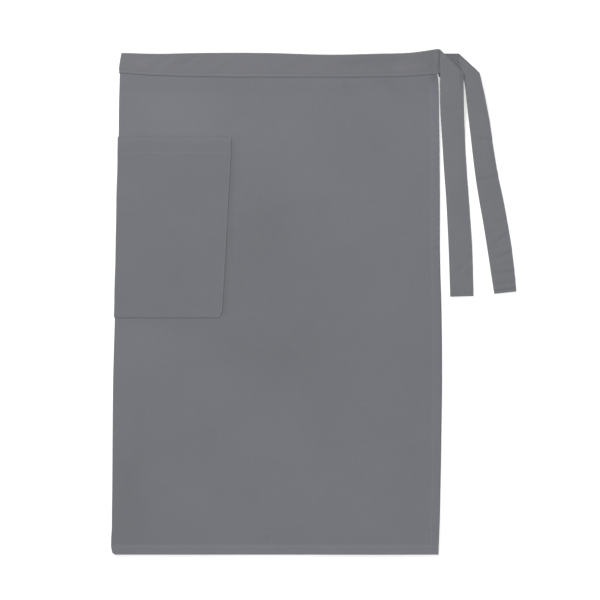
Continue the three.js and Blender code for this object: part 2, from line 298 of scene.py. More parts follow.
# Soft creases: middle in millimetres, heading in degrees, half length and half width, and height
CREASES = [
    dict(x=245, y=35, heading=66, long=26, wide=3.2, rise=0.56),
    dict(x=262, y=52, heading=62, long=18, wide=3, rise=-0.32),
    dict(x=408, y=722, heading=-52, long=20, wide=4, rise=0.64),
    dict(x=425, y=715, heading=-58, long=22, wide=4.5, rise=0.56),
    dict(x=448, y=726, heading=-48, long=16, wide=4, rise=0.56),
    dict(x=395, y=196, heading=74, long=46, wide=5, rise=0.4),
    dict(x=118, y=536, heading=8, long=30, wide=5, rise=0.32),
    dict(x=190, y=505, heading=14, long=34, wide=6, rise=0.48),
]


def strokes(x, y, table, column):
    """The heights or tones of a table's soft strokes, each fading out from its own middle."""
    total = np.zeros(np.broadcast(x, y).shape)
    for row in table:
        turn = math.radians(row["heading"])
        along = (x - row["x"]) * math.cos(turn) + (y - row["y"]) * math.sin(turn)
        aside = -(x - row["x"]) * math.sin(turn) + (y - row["y"]) * math.cos(turn)
        total += row[column] * np.exp(-(along / row["long"]) ** 2 - (aside / row["wide"]) ** 2)
    return total


def swell(x, y):
    """The low hills where air stays under the upper half."""
    total = np.zeros(np.broadcast(x, y).shape)
    for hill in SWELLS:
        dx = (x / HEM_HALF_WIDTH - hill["across"]) / hill["wide"]
        dy = (y / APRON_LENGTH - hill["up"]) / hill["long"]
        total += SWELL_HEIGHT * hill["rise"] * np.maximum(1 - dx * dx - dy * dy, 0) ** 2
    return total


def gathers(x, y):
    """Short upright ripples where the waist seam draws the panel in, none quite like the next."""
    below = np.clip((BAND_LOW - y) / GATHER_REACH, 0, 3)
    strength = GATHER_HEIGHT * np.exp(-below ** 2) * smoothstep(y, BAND_LOW - 90, BAND_LOW - 4)
    uneven = 0.6 + 0.4 * np.sin(x / 47)
    return strength * uneven * np.cos(math.tau * x / GATHER_LENGTH + 1.4 * np.sin(x / 31))


def upper_level(x, y):
    """Height of the middle of the upper half's cloth."""
    in_band = smoothstep(y, BAND_LOW - LANDING - BAND_EASE, BAND_LOW - LANDING)
    spacing = WALL + AIR + (2 * PITCH + FOLD_GAP - AIR) * in_band
    free = 1 - in_band
    loose = free * (slow_waves(x, y) + strokes(x, y, CREASES, "rise"))
    loose = loose + fine_waves(x, y) * (0.3 + free)
    lifted = stack(x, y, UPPER_EASE, UPPER_EASE, BAND_EASE)
    return WALL / 2 + lifted + spacing + swell(x, y) + loose + gathers(x, y)


print("upper half has", len(SWELLS), "swells and", len(CREASES), "creases")

# %% [markdown]
# Grids round the fold
#
# Panel, pocket and band all go round the fold of the real apron. Bending a flat grid with a Simple Deform
# modifier would round the fold, but not keep it tight over layers of changing thickness. So each grid row
# is placed directly: it runs from the lower side edge, round the fold and out to the upper side edge. Each
# point keeps the direction that faces out of the cloth, so any layer is the same grid moved along it, and
# keeps its distance along the cloth, which becomes the weave's own coordinate.

# %% Folded grids
TURN_STEPS = 12
# The upper half comes down to the height of the fold over this distance
TURN_BLEND = 12.0


def folded(levels, columns):
    """The middle surface at these levels, where columns(y, half) gives distances from the fold."""
    y = np.asarray(levels, dtype=float)[:, None]
    fold = fold_line(y)
    low = lower_level(fold, y)
    radius = np.maximum((upper_level(fold, y) - low) / 2, (WALL + AIR) / 2)
    turn_x = fold + WALL / 2 + radius
    parts = []
    for half in (-1, 1):
        x = np.maximum(fold + columns(y, half), turn_x)
        near = 1 - smoothstep(x, turn_x, turn_x + TURN_BLEND)
        level = lower_level(x, y) if half < 0 else upper_level(x, y)
        if half > 0:
            level = level * (1 - near) + (low + 2 * radius) * near
        out = np.zeros(x.shape + (3,))
        out[..., 2] = half
        flat = np.stack([x, bent(x, y + 0 * x), level], axis=-1)
        parts.append((flat, out, half * (x - turn_x + math.pi * radius / 2)))
    angle = math.pi * (1.5 - np.arange(1, TURN_STEPS) / TURN_STEPS)[None, :]
    x = turn_x + radius * np.cos(angle)
    turn = np.stack([x, bent(x, y + 0 * x), low + radius * (1 + np.sin(angle))], axis=-1)
    turned_out = np.stack([np.cos(angle) + 0 * y, 0 * x, np.sin(angle) + 0 * y], axis=-1)
    around = radius * (math.pi - angle)
    lower, upper = parts
    points = np.concatenate([lower[0][:, ::-1], turn, upper[0]], axis=1)
    outs = np.concatenate([lower[1][:, ::-1], turned_out, upper[1]], axis=1)
    along = np.concatenate([lower[2][:, ::-1], around, upper[2]], axis=1)
    return points, outs, along


print("fold turns in", TURN_STEPS, "steps")

# %% [markdown]
# Grid steps, round edges and grooves
#
# Cloth is plain over most of its area, and all its detail sits in a few narrow strips: the edge, the end
# of a hem, a row of stitches. So the grid lines are close together there and far apart elsewhere, which a
# Subdivision Surface can't do. Each side of the cloth rounds off along a quarter circle at an edge, so a
# folded edge is a half round, and a row of stitches pulls the surface down in a soft groove.

# %% Steps, edges and grooves
def spread(*stretches):
    """Distances in rising order: each stretch is (from, to, widest step), ends included once."""
    values = []
    for low, high, step in stretches:
        count = max(int(math.ceil((high - low) / step)), 1)
        values.extend(np.linspace(low, high, count + 1))
    return np.unique(np.round(values, 4))


def rounded(distance, radius=WALL / 2):
    """Share of the full thickness at a distance in from a folded edge, so the edge is a half round."""
    left = 1 - np.clip(distance / radius, 0, 1)
    return np.sqrt(np.maximum(1 - left ** 2, 0.02))


def groove(distance, depth=0.16, width=1.0):
    """How far a row of stitches pulls the surface in, at a distance from the row."""
    return depth * np.exp(-(distance / width) ** 2)


print("a groove of stitches is", float(groove(0)), "mm deep")

# %% [markdown]
# From two grids to a mesh
#
# Each cloth is a closed shell: a front grid, a back grid, and strips that join their borders. A Solidify
# modifier would give an even wall, but here hems and grooves make the two sides differ. The UV map
# holds millimetres along the cloth and across it, so a weave drawn on it turns round the fold with the
# cloth and keeps its real scale. A second layer of values, painted_shading, is light and shade painted
# into the cloth's colour: painted highlights on raised hems and edges, and painted shade in hollows and
# creases.

# %% Shells
fold_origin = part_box("waistband")[1].x / MM - float(side_line(np.array([APRON_LENGTH]), -1)[0])
hem_origin = cad_box[0][1] / MM
to_frame = np.array([fold_origin, hem_origin, 0.0])
print("fold line at x =", round(fold_origin, 2), "mm, bottom hem at y =", round(hem_origin, 2), "mm")


def shell(name, front, back, u, v, painted_shading=0.0):
    """A closed mesh between two grids: u and v in millimetres are its UV map, painted_shading is its
    painted light and shade.
    """
    rows, columns = front.shape[:2]
    over = np.arange(rows * columns).reshape(rows, columns)
    under = over + rows * columns
    strips = [
        (over[:-1, :-1], over[:-1, 1:], over[1:, 1:], over[1:, :-1]),
        (under[:-1, :-1], under[1:, :-1], under[1:, 1:], under[:-1, 1:]),
        (over[:-1, 0], over[1:, 0], under[1:, 0], under[:-1, 0]),
        (over[:-1, -1], under[:-1, -1], under[1:, -1], over[1:, -1]),
        (over[0, :-1], under[0, :-1], under[0, 1:], over[0, 1:]),
        (over[-1, :-1], over[-1, 1:], under[-1, 1:], under[-1, :-1]),
    ]
    faces = np.concatenate([np.stack(strip, axis=-1).reshape(-1, 4) for strip in strips])
    points = np.concatenate([front.reshape(-1, 3), back.reshape(-1, 3)]) + to_frame
    mesh = bpy.data.meshes.new(name)
    mesh.from_pydata((points * MM).tolist(), [], faces.tolist())
    corners = np.empty(len(mesh.loops), dtype=np.int32)
    mesh.loops.foreach_get("vertex_index", corners)
    flat = np.stack([np.broadcast_to(u, (rows, columns)), np.broadcast_to(v, (rows, columns))], axis=-1)
    flat = np.tile(flat.reshape(-1, 2), (2, 1))
    layer = mesh.uv_layers.new(name="cloth")
    layer.data.foreach_set("uv", flat[corners].ravel())
    # painted_shading is light and shade painted into the cloth's colour, one value for each point
    shade = np.tile(np.broadcast_to(painted_shading, (rows, columns)).ravel(), 2)
    mesh.attributes.new("painted_shading", "FLOAT", "POINT").data.foreach_set("value", shade.astype(np.float32))
    mesh.shade_smooth()
    piece = bpy.data.objects.new(name, mesh)
    bpy.context.scene.collection.objects.link(piece)
    print(name, "has", len(faces), "faces")
    return piece


# %% [markdown]
# Painted light and shade on the panel
#
# The panel's grey carries painted light and shade. The raised hems get a painted highlight, a little
# paler, and wide soft patches get painted shade, a shade darker in hollows and creases, or painted light
# where the cloth is lit paler. A noise texture would scatter such patches anywhere, so each is a soft
# stroke with a place of its own, and goes to the material as the painted_shading.

# %% Painted light and shade of the panel
# Painted highlight on the raised hems: how much paler the side hem and the foot hem are drawn
SIDE_HEM_HIGHLIGHT = 0.1
FOOT_HEM_HIGHLIGHT = 0.3
# Patches of painted shade and light on the upper half: middle, heading in degrees, half length, half
# width, and painted_shading
# Dark ones paint the shade of hollows, of creases and under the band's open end; light ones paint more
# light
PAINTED_PATCHES = [
    dict(x=234, y=488, heading=75, long=80, wide=50, painted_shading=-0.26),
    dict(x=280, y=320, heading=-20, long=125, wide=70, painted_shading=-0.12),
    dict(x=195, y=335, heading=-20, long=80, wide=46, painted_shading=-0.13),
    dict(x=200, y=465, heading=88, long=70, wide=18, painted_shading=-0.1),
    dict(x=262, y=534, heading=14, long=60, wide=15, painted_shading=-0.12),
    dict(x=330, y=532, heading=70, long=26, wide=11, painted_shading=-0.1),
    dict(x=26, y=98, heading=84, long=80, wide=30, painted_shading=-0.24),
    dict(x=88, y=690, heading=0, long=95, wide=46, painted_shading=0.18),
    dict(x=300, y=690, heading=0, long=240, wide=70, painted_shading=0.04),
    dict(x=244, y=32, heading=56, long=17, wide=1.8, painted_shading=-0.3),
    dict(x=452, y=300, heading=70, long=60, wide=24, painted_shading=0.06),
    dict(x=361, y=729, heading=-55, long=17, wide=3, painted_shading=-0.15),
    dict(x=351, y=732, heading=-60, long=9, wide=3.5, painted_shading=0.1),
    dict(x=438, y=727, heading=-38, long=16, wide=5, painted_shading=-0.22),
    dict(x=420, y=738, heading=0, long=16, wide=5, painted_shading=-0.2),
    dict(x=500, y=738, heading=0, long=7, wide=7, painted_shading=-0.7),
    dict(x=60, y=320, heading=0, long=60, wide=40, painted_shading=0.08),
    dict(x=330, y=60, heading=0, long=260, wide=130, painted_shading=0.14),
    dict(x=470, y=640, heading=90, long=120, wide=60, painted_shading=0.08),
]
# Painted shadow beside the pocket's side edge, where the panel dips off the pocket: the cloth is drawn a
# shade darker there
POCKET_EDGE_SHADOW = 0.4
POCKET_EDGE_SHADOW_WIDTH = 5.0


def pocket_edge_shadow(x, y):
    """Where the painted shadow lies: 1 right beside the pocket's side edge, fading away from it and near
    the pocket's corners.
    """
    off = (x - fold_line(y) - pocket_half(y) - LANDING) / POCKET_EDGE_SHADOW_WIDTH
    foot = smoothstep(y, POCKET_FOOT, POCKET_FOOT + 8)
    return np.exp(-off ** 2) * foot * (1 - smoothstep(y, POCKET_TOP - 12, POCKET_TOP))


def painted_panel_shading(x, y, side_hem, foot_hem, is_upper):
    """Painted highlight over the hems, and on the upper half painted shade and light in patches and beside
    the pocket.
    """
    hem_highlight = np.maximum(SIDE_HEM_HIGHLIGHT * side_hem, FOOT_HEM_HIGHLIGHT * foot_hem)
    painted_patches = strokes(x, y, PAINTED_PATCHES, "painted_shading") - POCKET_EDGE_SHADOW * pocket_edge_shadow(x, y)
    return hem_highlight + np.where(is_upper, painted_patches, 0)


print("panel has", len(PAINTED_PATCHES), "soft patches of shade")

# %% [markdown]
# The panel
#
# The panel's hems are turned under, to the inside of this fold, and sewn down. From outside a hem shows
# as a band that stands up by one more layer, ends in a soft step and has a sunk row of stitches just
# inside that step. So the front grid is lifted over the hems and pulled in along the rows of stitches,
# and the grid lines crowd together there. Folding the hem's cloth over for real would add a hidden layer
# and show nothing more.

# %% Panel
# A hem stands up by this much where it shows, and its step is this soft
HEM_SHOW = 0.4
HEM_SOFT = 1.6
# The floor presses the stitches underneath level with the cloth, so their groove is deeper
UNDER_DEPTH = 2.0
# A row of stitches runs this far inside the end of its hem
STITCH_INSET = 1.7
# Plain cloth needs a grid line only every so often, over a width of about this much
PLAIN_STEP = 7.0
PLAIN_WIDTH = 440.0
# Steps close enough for a quarter circle at an edge
EDGE_STEPS = (0, 0.5, 0.12)


def line_steps(at, reach=2.4, step=0.6):
    """Close steps across a row of stitches."""
    return (at - reach, at + reach, step)


def side_columns(y, half):
    side = side_line(y, half) - fold_line(y)
    plain = spread((0, PLAIN_WIDTH, PLAIN_STEP)) / PLAIN_WIDTH
    edge = spread(EDGE_STEPS, (0.5, SIDE_HEM - 5, 2.4), line_steps(SIDE_HEM - STITCH_INSET),
                  (SIDE_HEM, 18, 1))
    inner = side - edge[-1]
    return np.concatenate([plain[:-1] * inner, side - edge[::-1]], axis=1)


def panel_levels():
    return spread(
        EDGE_STEPS, (0.5, BOTTOM_HEM - 5, 2.4), line_steps(BOTTOM_HEM - STITCH_INSET),
        (BOTTOM_HEM, 20, 1), (20, BAND_LOW - 40, PLAIN_STEP), (BAND_LOW - 40, BAND_LOW - 2, 3),
        (BAND_LOW - 2, BAND_LOW + BAND_TUCK, 3.5))


def hem_relief(from_side, from_foot, in_band):
    """Side hem, bottom hem and sinking, from the distances to the side and bottom edges."""
    side = (1 - smoothstep(from_side, SIDE_HEM - HEM_SOFT / 2, SIDE_HEM + HEM_SOFT)) * (1 - in_band)
    foot = 1 - smoothstep(from_foot, BOTTOM_HEM - HEM_SOFT / 2, BOTTOM_HEM + HEM_SOFT)
    sunk = groove(from_side - SIDE_HEM + STITCH_INSET) + groove(from_foot - BOTTOM_HEM + STITCH_INSET)
    return side, foot, sunk


def inside_band(y):
    """Share by which the panel is held flat inside the waistband."""
    return smoothstep(y, BAND_LOW - 12, BAND_LOW - 1)


def on_upper(points):
    """True for the columns of a folded grid that lie past the middle of the fold, on the upper half."""
    columns = points.shape[1]
    return np.arange(columns)[None, :] > columns // 2


def make_panel():
    levels = panel_levels()
    points, outs, along = folded(levels, side_columns)
    x, y = points[..., 0], levels[:, None]
    is_upper = on_upper(points)
    side = np.where(is_upper, side_line(y, 1), side_line(y, -1))
    from_side = np.maximum(side - x, 0)
    side_hem, foot_hem, sunk = hem_relief(from_side, y, inside_band(y))
    turned = np.maximum(side_hem, foot_hem)
    edge = rounded(np.minimum(from_side, y + 0 * from_side))
    painted_shading = painted_panel_shading(x, y, side_hem, foot_hem, is_upper)
    shown = np.where(is_upper, HEM_SHOW, 0) * turned
    sunk = sunk * np.where(is_upper, 1, UNDER_DEPTH)
    front = points + outs * ((WALL / 2 + shown - sunk) * edge)[..., None]
    back = points - outs * ((WALL / 2 + HEM_BUILD * turned) * edge)[..., None]
    return shell("panel_cloth_sewn", front, back, along, y, painted_shading)


panel = make_panel()

# %% [markdown]
# The pocket
#
# The pocket is one cloth over the middle of the apron, so it goes round the fold with the panel. Its
# edges are turned under and sewn down about two millimetres in, which gives a low rounded rim, a sunk
# row and a soft puff inside it. The mouth has a wide hem, thicker by one layer. A patch cut from a plane
# and shrinkwrapped onto the panel would be quicker, but would have no rim and no turn at the fold.

# %% Edges and heights of the pocket
POCKET_STITCH = 2.0
RIM_WIDTH = 9.0
RIM_RISE = 0.16
# The mouth's hem shows little: its step, the groove of its stitches, and a painted highlight along its top
# edge
MOUTH_SHOW = 0.16
MOUTH_SUNK = 0.02
MOUTH_HIGHLIGHT = 0.25
MOUTH_ROUND = 5.0
# The cloth lies flat up to this far from a sewn edge, and is fully puffed further in
PUFF_FROM = 4.0
PUFF_FULL = 45.0
PUFF_HEIGHT = 0.35
# The plain part of the pocket is about this wide on each half
POCKET_PLAIN = 160.0
# From the panel's middle surface to the inside of what is sewn onto it
INNER = WALL / 2 + GAP


def pocket_edge(y):
    """Half width of the pocket with its cut lower corners and worn round upper ones."""
    corner = POCKET_CORNER[0] * np.clip(1 - (y - POCKET_FOOT) / POCKET_CORNER[1], 0, 1)
    near_top = np.clip(1 - (POCKET_TOP - y) / MOUTH_ROUND, 0, 1)
    return pocket_half(y) - corner - MOUTH_ROUND * (1 - np.sqrt(1 - near_top ** 2))


def from_pocket_side(x, y):
    """Distance in from the pocket's side edge."""
    return pocket_edge(y) + fold_line(y) - x


def pocket_columns(y, half):
    edge = pocket_edge(y)
    rim = spread(EDGE_STEPS, line_steps(POCKET_STITCH, 1.5, 0.5), (3.5, 14, 1.5))
    plain = spread((0, POCKET_PLAIN, 6)) / POCKET_PLAIN
    return np.concatenate([plain[:-1] * (edge - rim[-1]), edge - rim[::-1]], axis=1)


def pocket_levels():
    mouth = POCKET_TOP - POCKET_HEM
    return spread(
        (POCKET_FOOT, POCKET_FOOT + 0.5, 0.12), (POCKET_FOOT + 0.5, POCKET_FOOT + 3.5, 0.5),
        (POCKET_FOOT + 3.5, POCKET_FOOT + 14, 1.5), (POCKET_FOOT + 14, mouth - 4, 6),
        (mouth - 4, mouth + 5, 0.7), (mouth + 5, POCKET_TOP - 5, 3),
        (POCKET_TOP - 5, POCKET_TOP - 0.5, 0.5), (POCKET_TOP - 0.5, POCKET_TOP, 0.12))


pocket_puff = cosine_waves(seed=21, shortest=50, longest=150, height=0.22)


def mouth_hem(y):
    """How far the doubled cloth of the mouth stands up."""
    mouth = POCKET_TOP - POCKET_HEM
    return MOUTH_SHOW * smoothstep(y, mouth - 5, mouth + 3)


def pocket_loft(x, y, nearest):
    """How far the cloth puffs up between the sewn edges."""
    return (PUFF_HEIGHT + pocket_puff(x, y)) * smoothstep(nearest, PUFF_FROM, PUFF_FULL)


print("pocket mouth is", 2 * POCKET_HALF_TOP, "mm wide, and its foot", 2 * POCKET_HALF_FOOT, "mm")

# %% [markdown]
# The pocket's cloth
#
# The same two steps as for the panel: the distances to the edges give the relief, and the relief moves
# the front grid outwards. The back grid lies a hair over the panel.

# %% Pocket
def make_pocket():
    levels = pocket_levels()
    points, outs, along = folded(levels, pocket_columns)
    y = levels[:, None]
    x = points[..., 0]
    is_upper = on_upper(points)
    from_side = np.maximum(from_pocket_side(x, y), 0)
    from_foot = y - POCKET_FOOT + 0 * x
    from_top = POCKET_TOP - y + 0 * x
    nearest = np.minimum(np.minimum(from_side, from_foot), from_top)
    mouth = POCKET_TOP - POCKET_HEM
    hem = mouth_hem(y) * is_upper
    sewn = np.minimum(from_side, from_foot)
    rim = RIM_RISE * (1 - smoothstep(sewn, RIM_WIDTH - 2, RIM_WIDTH + 2))
    puff = pocket_loft(x, y + 0 * x, nearest)
    sunk = groove(sewn - POCKET_STITCH) + groove(y - mouth - STITCH_INSET, MOUTH_SUNK)
    shape = np.where(is_upper, rim + puff - sunk, -UNDER_DEPTH * sunk)
    # Painted highlight: the cloth just under the pocket's top edge is drawn paler, as lit cloth
    painted_shading = MOUTH_HIGHLIGHT * (1 - smoothstep(from_top, 2, 12)) * is_upper
    edge = rounded(nearest)
    front = points + outs * (INNER + WALL / 2 + (WALL / 2 + hem + shape) * edge)[..., None]
    back = points + outs * (INNER + (WALL / 2) * (1 - edge))[..., None]
    return shell("pocket_cloth_sewn", front, back, along, y, painted_shading)


pocket = make_pocket()

# %% [markdown]
# The waistband
#
# The band is a strip folded lengthwise over the panel's top edge, so its section is a hairpin. It is
# walked from the outer lower edge up over the top and down to the inner lower edge, and that hairpin is
# swept along the folded cloth. The lower edge is turned under and topstitched. Above the stitches the
# doubled cloth stays a little puffed, with slanting drag lines where it twists. Extruding a profile curve
# would give the hairpin too, but it could not follow the layers underneath or carry the drag lines.

# %% Drag lines and painted shade of the waistband
# The row of stitches: its place above the lower edge, and the depth and width of its groove
BAND_STITCH = 3.4
BAND_SUNK = 0.3
BAND_GROOVE = 1.4
BAND_PUFF = 0.5
# Short ripples where the topstitching gathers the band's lower edge
RIPPLE_HEIGHT = 0.07
RIPPLE_LENGTH = 2.9 * math.tau
BAND_TURN = APRON_LENGTH - WALL / 2 - PITCH
band_waves = cosine_waves(seed=33, shortest=28, longest=110, height=0.2)
# Drag lines of the twisted cloth: middle, heading in degrees, half length, half width, and height
BAND_DRAGS = [
    dict(x=60, y=764, heading=38, long=16, wide=4, rise=0.69),
    dict(x=80, y=764, heading=40, long=18, wide=4.5, rise=-1.15),
    dict(x=94, y=766, heading=38, long=16, wide=4, rise=1.265),
    dict(x=120, y=766, heading=36, long=17, wide=4, rise=-1.265),
    dict(x=132, y=768, heading=36, long=15, wide=4, rise=0.92),
    dict(x=168, y=762, heading=30, long=20, wide=5, rise=0.69),
    dict(x=262, y=760, heading=24, long=24, wide=5, rise=0.69),
    dict(x=352, y=758, heading=-26, long=22, wide=5, rise=0.69),
    dict(x=424, y=762, heading=-30, long=22, wide=5, rise=1.035),
    dict(x=466, y=768, heading=34, long=20, wide=5, rise=1.15),
    dict(x=488, y=764, heading=48, long=16, wide=4, rise=-0.92),
]
# Painted shade and light on the band: darker near the open end, where the twisted cloth lies in shade, and
# lighter where it is lit paler
BAND_PAINTED_PATCHES = [
    dict(x=415, y=770, heading=2, long=60, wide=7, painted_shading=-0.28),
    dict(x=458, y=757, heading=10, long=18, wide=6, painted_shading=0.3),
    dict(x=497, y=764, heading=84, long=20, wide=8, painted_shading=-0.35),
    dict(x=306, y=758, heading=10, long=26, wide=8, painted_shading=0.15),
    dict(x=52, y=762, heading=0, long=42, wide=16, painted_shading=0.2),
]


def band_relief(x, y, from_low):
    """How far the outside of the band stands up: its puff, waves, drag lines and edge ripples."""
    puff = BAND_PUFF * np.sin(np.pi * np.clip(from_low / BAND_HEIGHT, 0, 1)) ** 0.8
    loose = smoothstep(from_low, 3, 14) * smoothstep(BAND_HEIGHT - from_low, 0, 8)
    drags = loose * (band_waves(x, y) + strokes(x, y, BAND_DRAGS, "rise"))
    wander = math.tau * x / RIPPLE_LENGTH + np.sin(x / 23)
    return puff + drags + RIPPLE_HEIGHT * np.cos(wander) * np.exp(-((from_low - 5) / 6) ** 2)


print("waistband has", len(BAND_DRAGS), "drag lines and", len(BAND_PAINTED_PATCHES), "patches")

# %% [markdown]
# The waistband's cloth
#
# Each grid row is one step round the hairpin, and holds the height it lies at, the side of the panel it
# is on, and how far it is lifted over the panel's top edge. Outside, the relief is added. Inside, where
# nothing shows, the cloth is plain.

# %% Waistband
# The band is about this long on each half, up to the rounding of its end
BAND_PLAIN = 505.0


def band_columns(y, half):
    side = np.maximum(side_line(y, half), side_line(APRON_LENGTH, half)) - fold_line(y)
    plain = spread((0, BAND_PLAIN - 5, 4.5)) / (BAND_PLAIN + 1)
    end = spread((BAND_PLAIN, BAND_PLAIN + 0.5, 0.12)) / (BAND_PLAIN + 0.5)
    return np.concatenate([plain, end])[None, :] * side


def band_steps():
    """(height, side of the panel, lift over its top edge) for each step round the hairpin."""
    heights = spread((BAND_LOW, BAND_LOW + 0.5, 0.12), (BAND_LOW + 0.5, BAND_LOW + 4.4, 0.55),
                     (BAND_LOW + 5, BAND_TURN, 2.6))
    outer = [(y, 1.0, 0.0) for y in heights[:-1]]
    turn = [(BAND_TURN, math.cos(a), math.sin(a)) for a in np.linspace(0, math.pi, 11)]
    return outer + turn + [(y, -1.0, 0.0) for y, _, _ in outer[::-1]]


def make_band():
    steps = band_steps()
    levels = np.array([step[0] for step in steps])
    sides = np.array([step[1] for step in steps])[:, None]
    lifts = np.array([step[2] for step in steps])[:, None]
    points, outs, along = folded(levels, band_columns)
    y = levels[:, None] + 0 * along
    x = points[..., 0]
    outside = (sides > 0) & on_upper(points)
    from_end = np.maximum(side_line(y, -1) - x, 0)
    from_low = y - BAND_LOW
    edge = rounded(np.minimum(from_low, from_end))
    sunk = groove(from_low - BAND_STITCH, BAND_SUNK, BAND_GROOVE)
    # Painted shade and light on the band's outside
    painted_shading = np.where(outside, strokes(x, y, BAND_PAINTED_PATCHES, "painted_shading"), 0)
    shape = np.where(outside, band_relief(x, y, from_low), 0) - sunk

    def surface(radius):
        moved = points + outs * (sides * radius)[..., None]
        moved[..., 1] += lifts * np.clip(radius, 0, PITCH + WALL)
        return moved

    front = surface(PITCH + (WALL / 2) * edge + shape * np.abs(sides))
    back = surface(PITCH - (WALL / 2) * edge)
    around = np.cumsum(np.r_[0, np.hypot(np.diff(levels), PITCH * np.diff(sides[:, 0]))])[:, None]
    return shell("waistband_sewn", front, back, along, around, painted_shading)


band = make_band()

# %% [markdown]
# The ties
#
# Each tie is a flat strip. It leaves the open end of the band by a narrow sewn-in tongue, turns over
# once on a slanting crease, and then lies straight down, wandering a little and drawn together where it
# was pulled. A curve with a flat bevel would make a quick ribbon, but it can't fold on a crease. So each
# tie is a grid, and a table says how its hanging part drifts aside, narrows and comes down to the floor.

# %% Tables of the ties
# Length of the tongue inside the band, and steps round the crease and down the hanging part
TONGUE = 11.0
CREASE_TURN = 12
HANG_ROWS = 150
CREASE_RADIUS = (WALL + FOLD_GAP) / 2
TIE_STITCH = 2.0
END_HEM = 5.5
# A tie's hanging part stands off the floor by this much on average
TIE_LOFT = 0.9
# down and drift are shares of the hanging length, width of the tie's width, and height of the crease's
front_run = smooth_table(["down", "drift", "width", "height"], [
    (0, 0, 1, 1),
    (0.1, 0.0003, 1, 1),
    (0.17, 0.0013, 1.005, 0.75),
    (0.247, 0.004, 0.996, 0.28),
    (0.31, 0.0075, 0.98, 0.05),
    (0.376, 0.0111, 0.967, 0),
    (0.46, 0.0165, 0.966, 0),
    (0.589, 0.026, 0.968, 0),
    (0.8, 0.0382, 1.005, 0),
    (1, 0.0443, 0.995, 0),
])
back_run = smooth_table(["down", "drift", "width", "height"], [
    (0, 0, 0.74, 1),
    (0.074, 0.0119, 0.71, 1),
    (0.118, 0.0172, 0.75, 0.92),
    (0.162, 0.0205, 0.8, 0.74),
    (0.249, 0.0255, 0.874, 0.27),
    (0.38, 0.031, 0.91, 0.02),
    (0.51, 0.039, 0.973, 0),
    (0.598, 0.0477, 1.015, 0),
    (0.686, 0.056, 1.025, 0),
    (0.817, 0.0654, 1.03, 0),
    (0.969, 0.072, 0.97, 0),
    (1, 0.0728, 0.94, 0),
])
# Dents and ridges across a tie: down is a share of the hanging length, heading in degrees off square.
# At and span are shares of the width, for those that don't reach both edges
FRONT_WRINKLES = [
    dict(down=0.12, heading=24, wide=7, rise=0.5),
    dict(down=0.2, heading=-30, wide=4, rise=-0.5),
    dict(down=0.3, heading=-8, wide=12, rise=0.5),
    dict(down=0.46, heading=12, wide=7, rise=-0.6),
    dict(down=0.55, heading=-14, wide=6, rise=0.5),
    dict(down=0.66, heading=-6, wide=8, rise=-0.5),
    dict(down=0.76, heading=18, wide=6, rise=0.4),
    dict(down=0.88, heading=-42, wide=3.2, rise=-0.9, at=0.6, span=0.35),
    dict(down=0.91, heading=-42, wide=4, rise=0.6, at=0.6, span=0.45),
]
BACK_WRINKLES = [
    dict(down=0.1, heading=-20, wide=5, rise=0.5),
    dict(down=0.22, heading=14, wide=8, rise=0.6),
    dict(down=0.312, heading=-10, wide=4, rise=1.0),
    dict(down=0.337, heading=-10, wide=3, rise=-1.3),
    dict(down=0.38, heading=8, wide=6, rise=0.5),
    dict(down=0.485, heading=-12, wide=4, rise=0.9),
    dict(down=0.505, heading=-12, wide=3, rise=-1.1),
    dict(down=0.555, heading=0, wide=6, rise=0.5, at=0.6, span=0.5),
    dict(down=0.597, heading=-14, wide=3, rise=-0.8, at=0.2, span=0.3),
    dict(down=0.628, heading=22, wide=3, rise=-0.8, at=0.75, span=0.3),
    dict(down=0.693, heading=-4, wide=3, rise=-1.1, at=0.75, span=0.5),
    dict(down=0.755, heading=-32, wide=3.5, rise=0.7, at=0.6, span=0.4),
    dict(down=0.775, heading=-32, wide=2.6, rise=-1.1, at=0.6, span=0.4),
    dict(down=0.825, heading=-14, wide=3.5, rise=0.9, at=0.7, span=0.6),
    dict(down=0.845, heading=-14, wide=3, rise=-1.2, at=0.7, span=0.5),
    dict(down=0.895, heading=6, wide=3.5, rise=0.9, at=0.8, span=0.6),
    dict(down=0.915, heading=6, wide=3, rise=-1.2, at=0.8, span=0.45),
    dict(down=0.945, heading=-6, wide=3, rise=0.7),
    dict(down=0.962, heading=8, wide=2.4, rise=-1.0, at=0.4, span=0.6),
]
# half says which end of the band, lean is in degrees, and reach and drop place the crease's upper corner.
# spare is the length in the crease and the tongue. root_shadow, edge_shade and end_groove_shade are painted
# shade: a shadow on the part before the crease, shade on the free edge just below it, and in the end's
# groove
FRONT_TIE = dict(half=1, lean=0, length=382.0, spare=40.0, reach=0.2, drop=0.0,
                 root_shadow=0.0, edge_shade=-0.5, end_groove_shade=-0.3,
                 run=front_run, wrinkles=FRONT_WRINKLES, seed=41)
BACK_TIE = dict(half=-1, lean=5, length=375.2, spare=66.0, reach=29.5, drop=5.8,
                root_shadow=-0.7, edge_shade=0.0, end_groove_shade=-1.0,
                run=back_run, wrinkles=BACK_WRINKLES, seed=52)
print("ties hang", FRONT_TIE["length"], "and", BACK_TIE["length"], "mm")

# %% [markdown]
# The middle surface of a tie
#
# A flat strip that turns over on a line stays flat on both sides of it: every point past the line is
# mirrored in it and lies one fold higher. So the rows of the grid run along the crease there, and swing
# slowly back to square below it. Each row needs only its two end points.

# %% Middle surface of a tie
def heading(degrees):
    """A level unit vector: 0 points along +X, and -90 straight down the apron."""
    return np.array([math.cos(math.radians(degrees)), math.sin(math.radians(degrees)), 0.0])


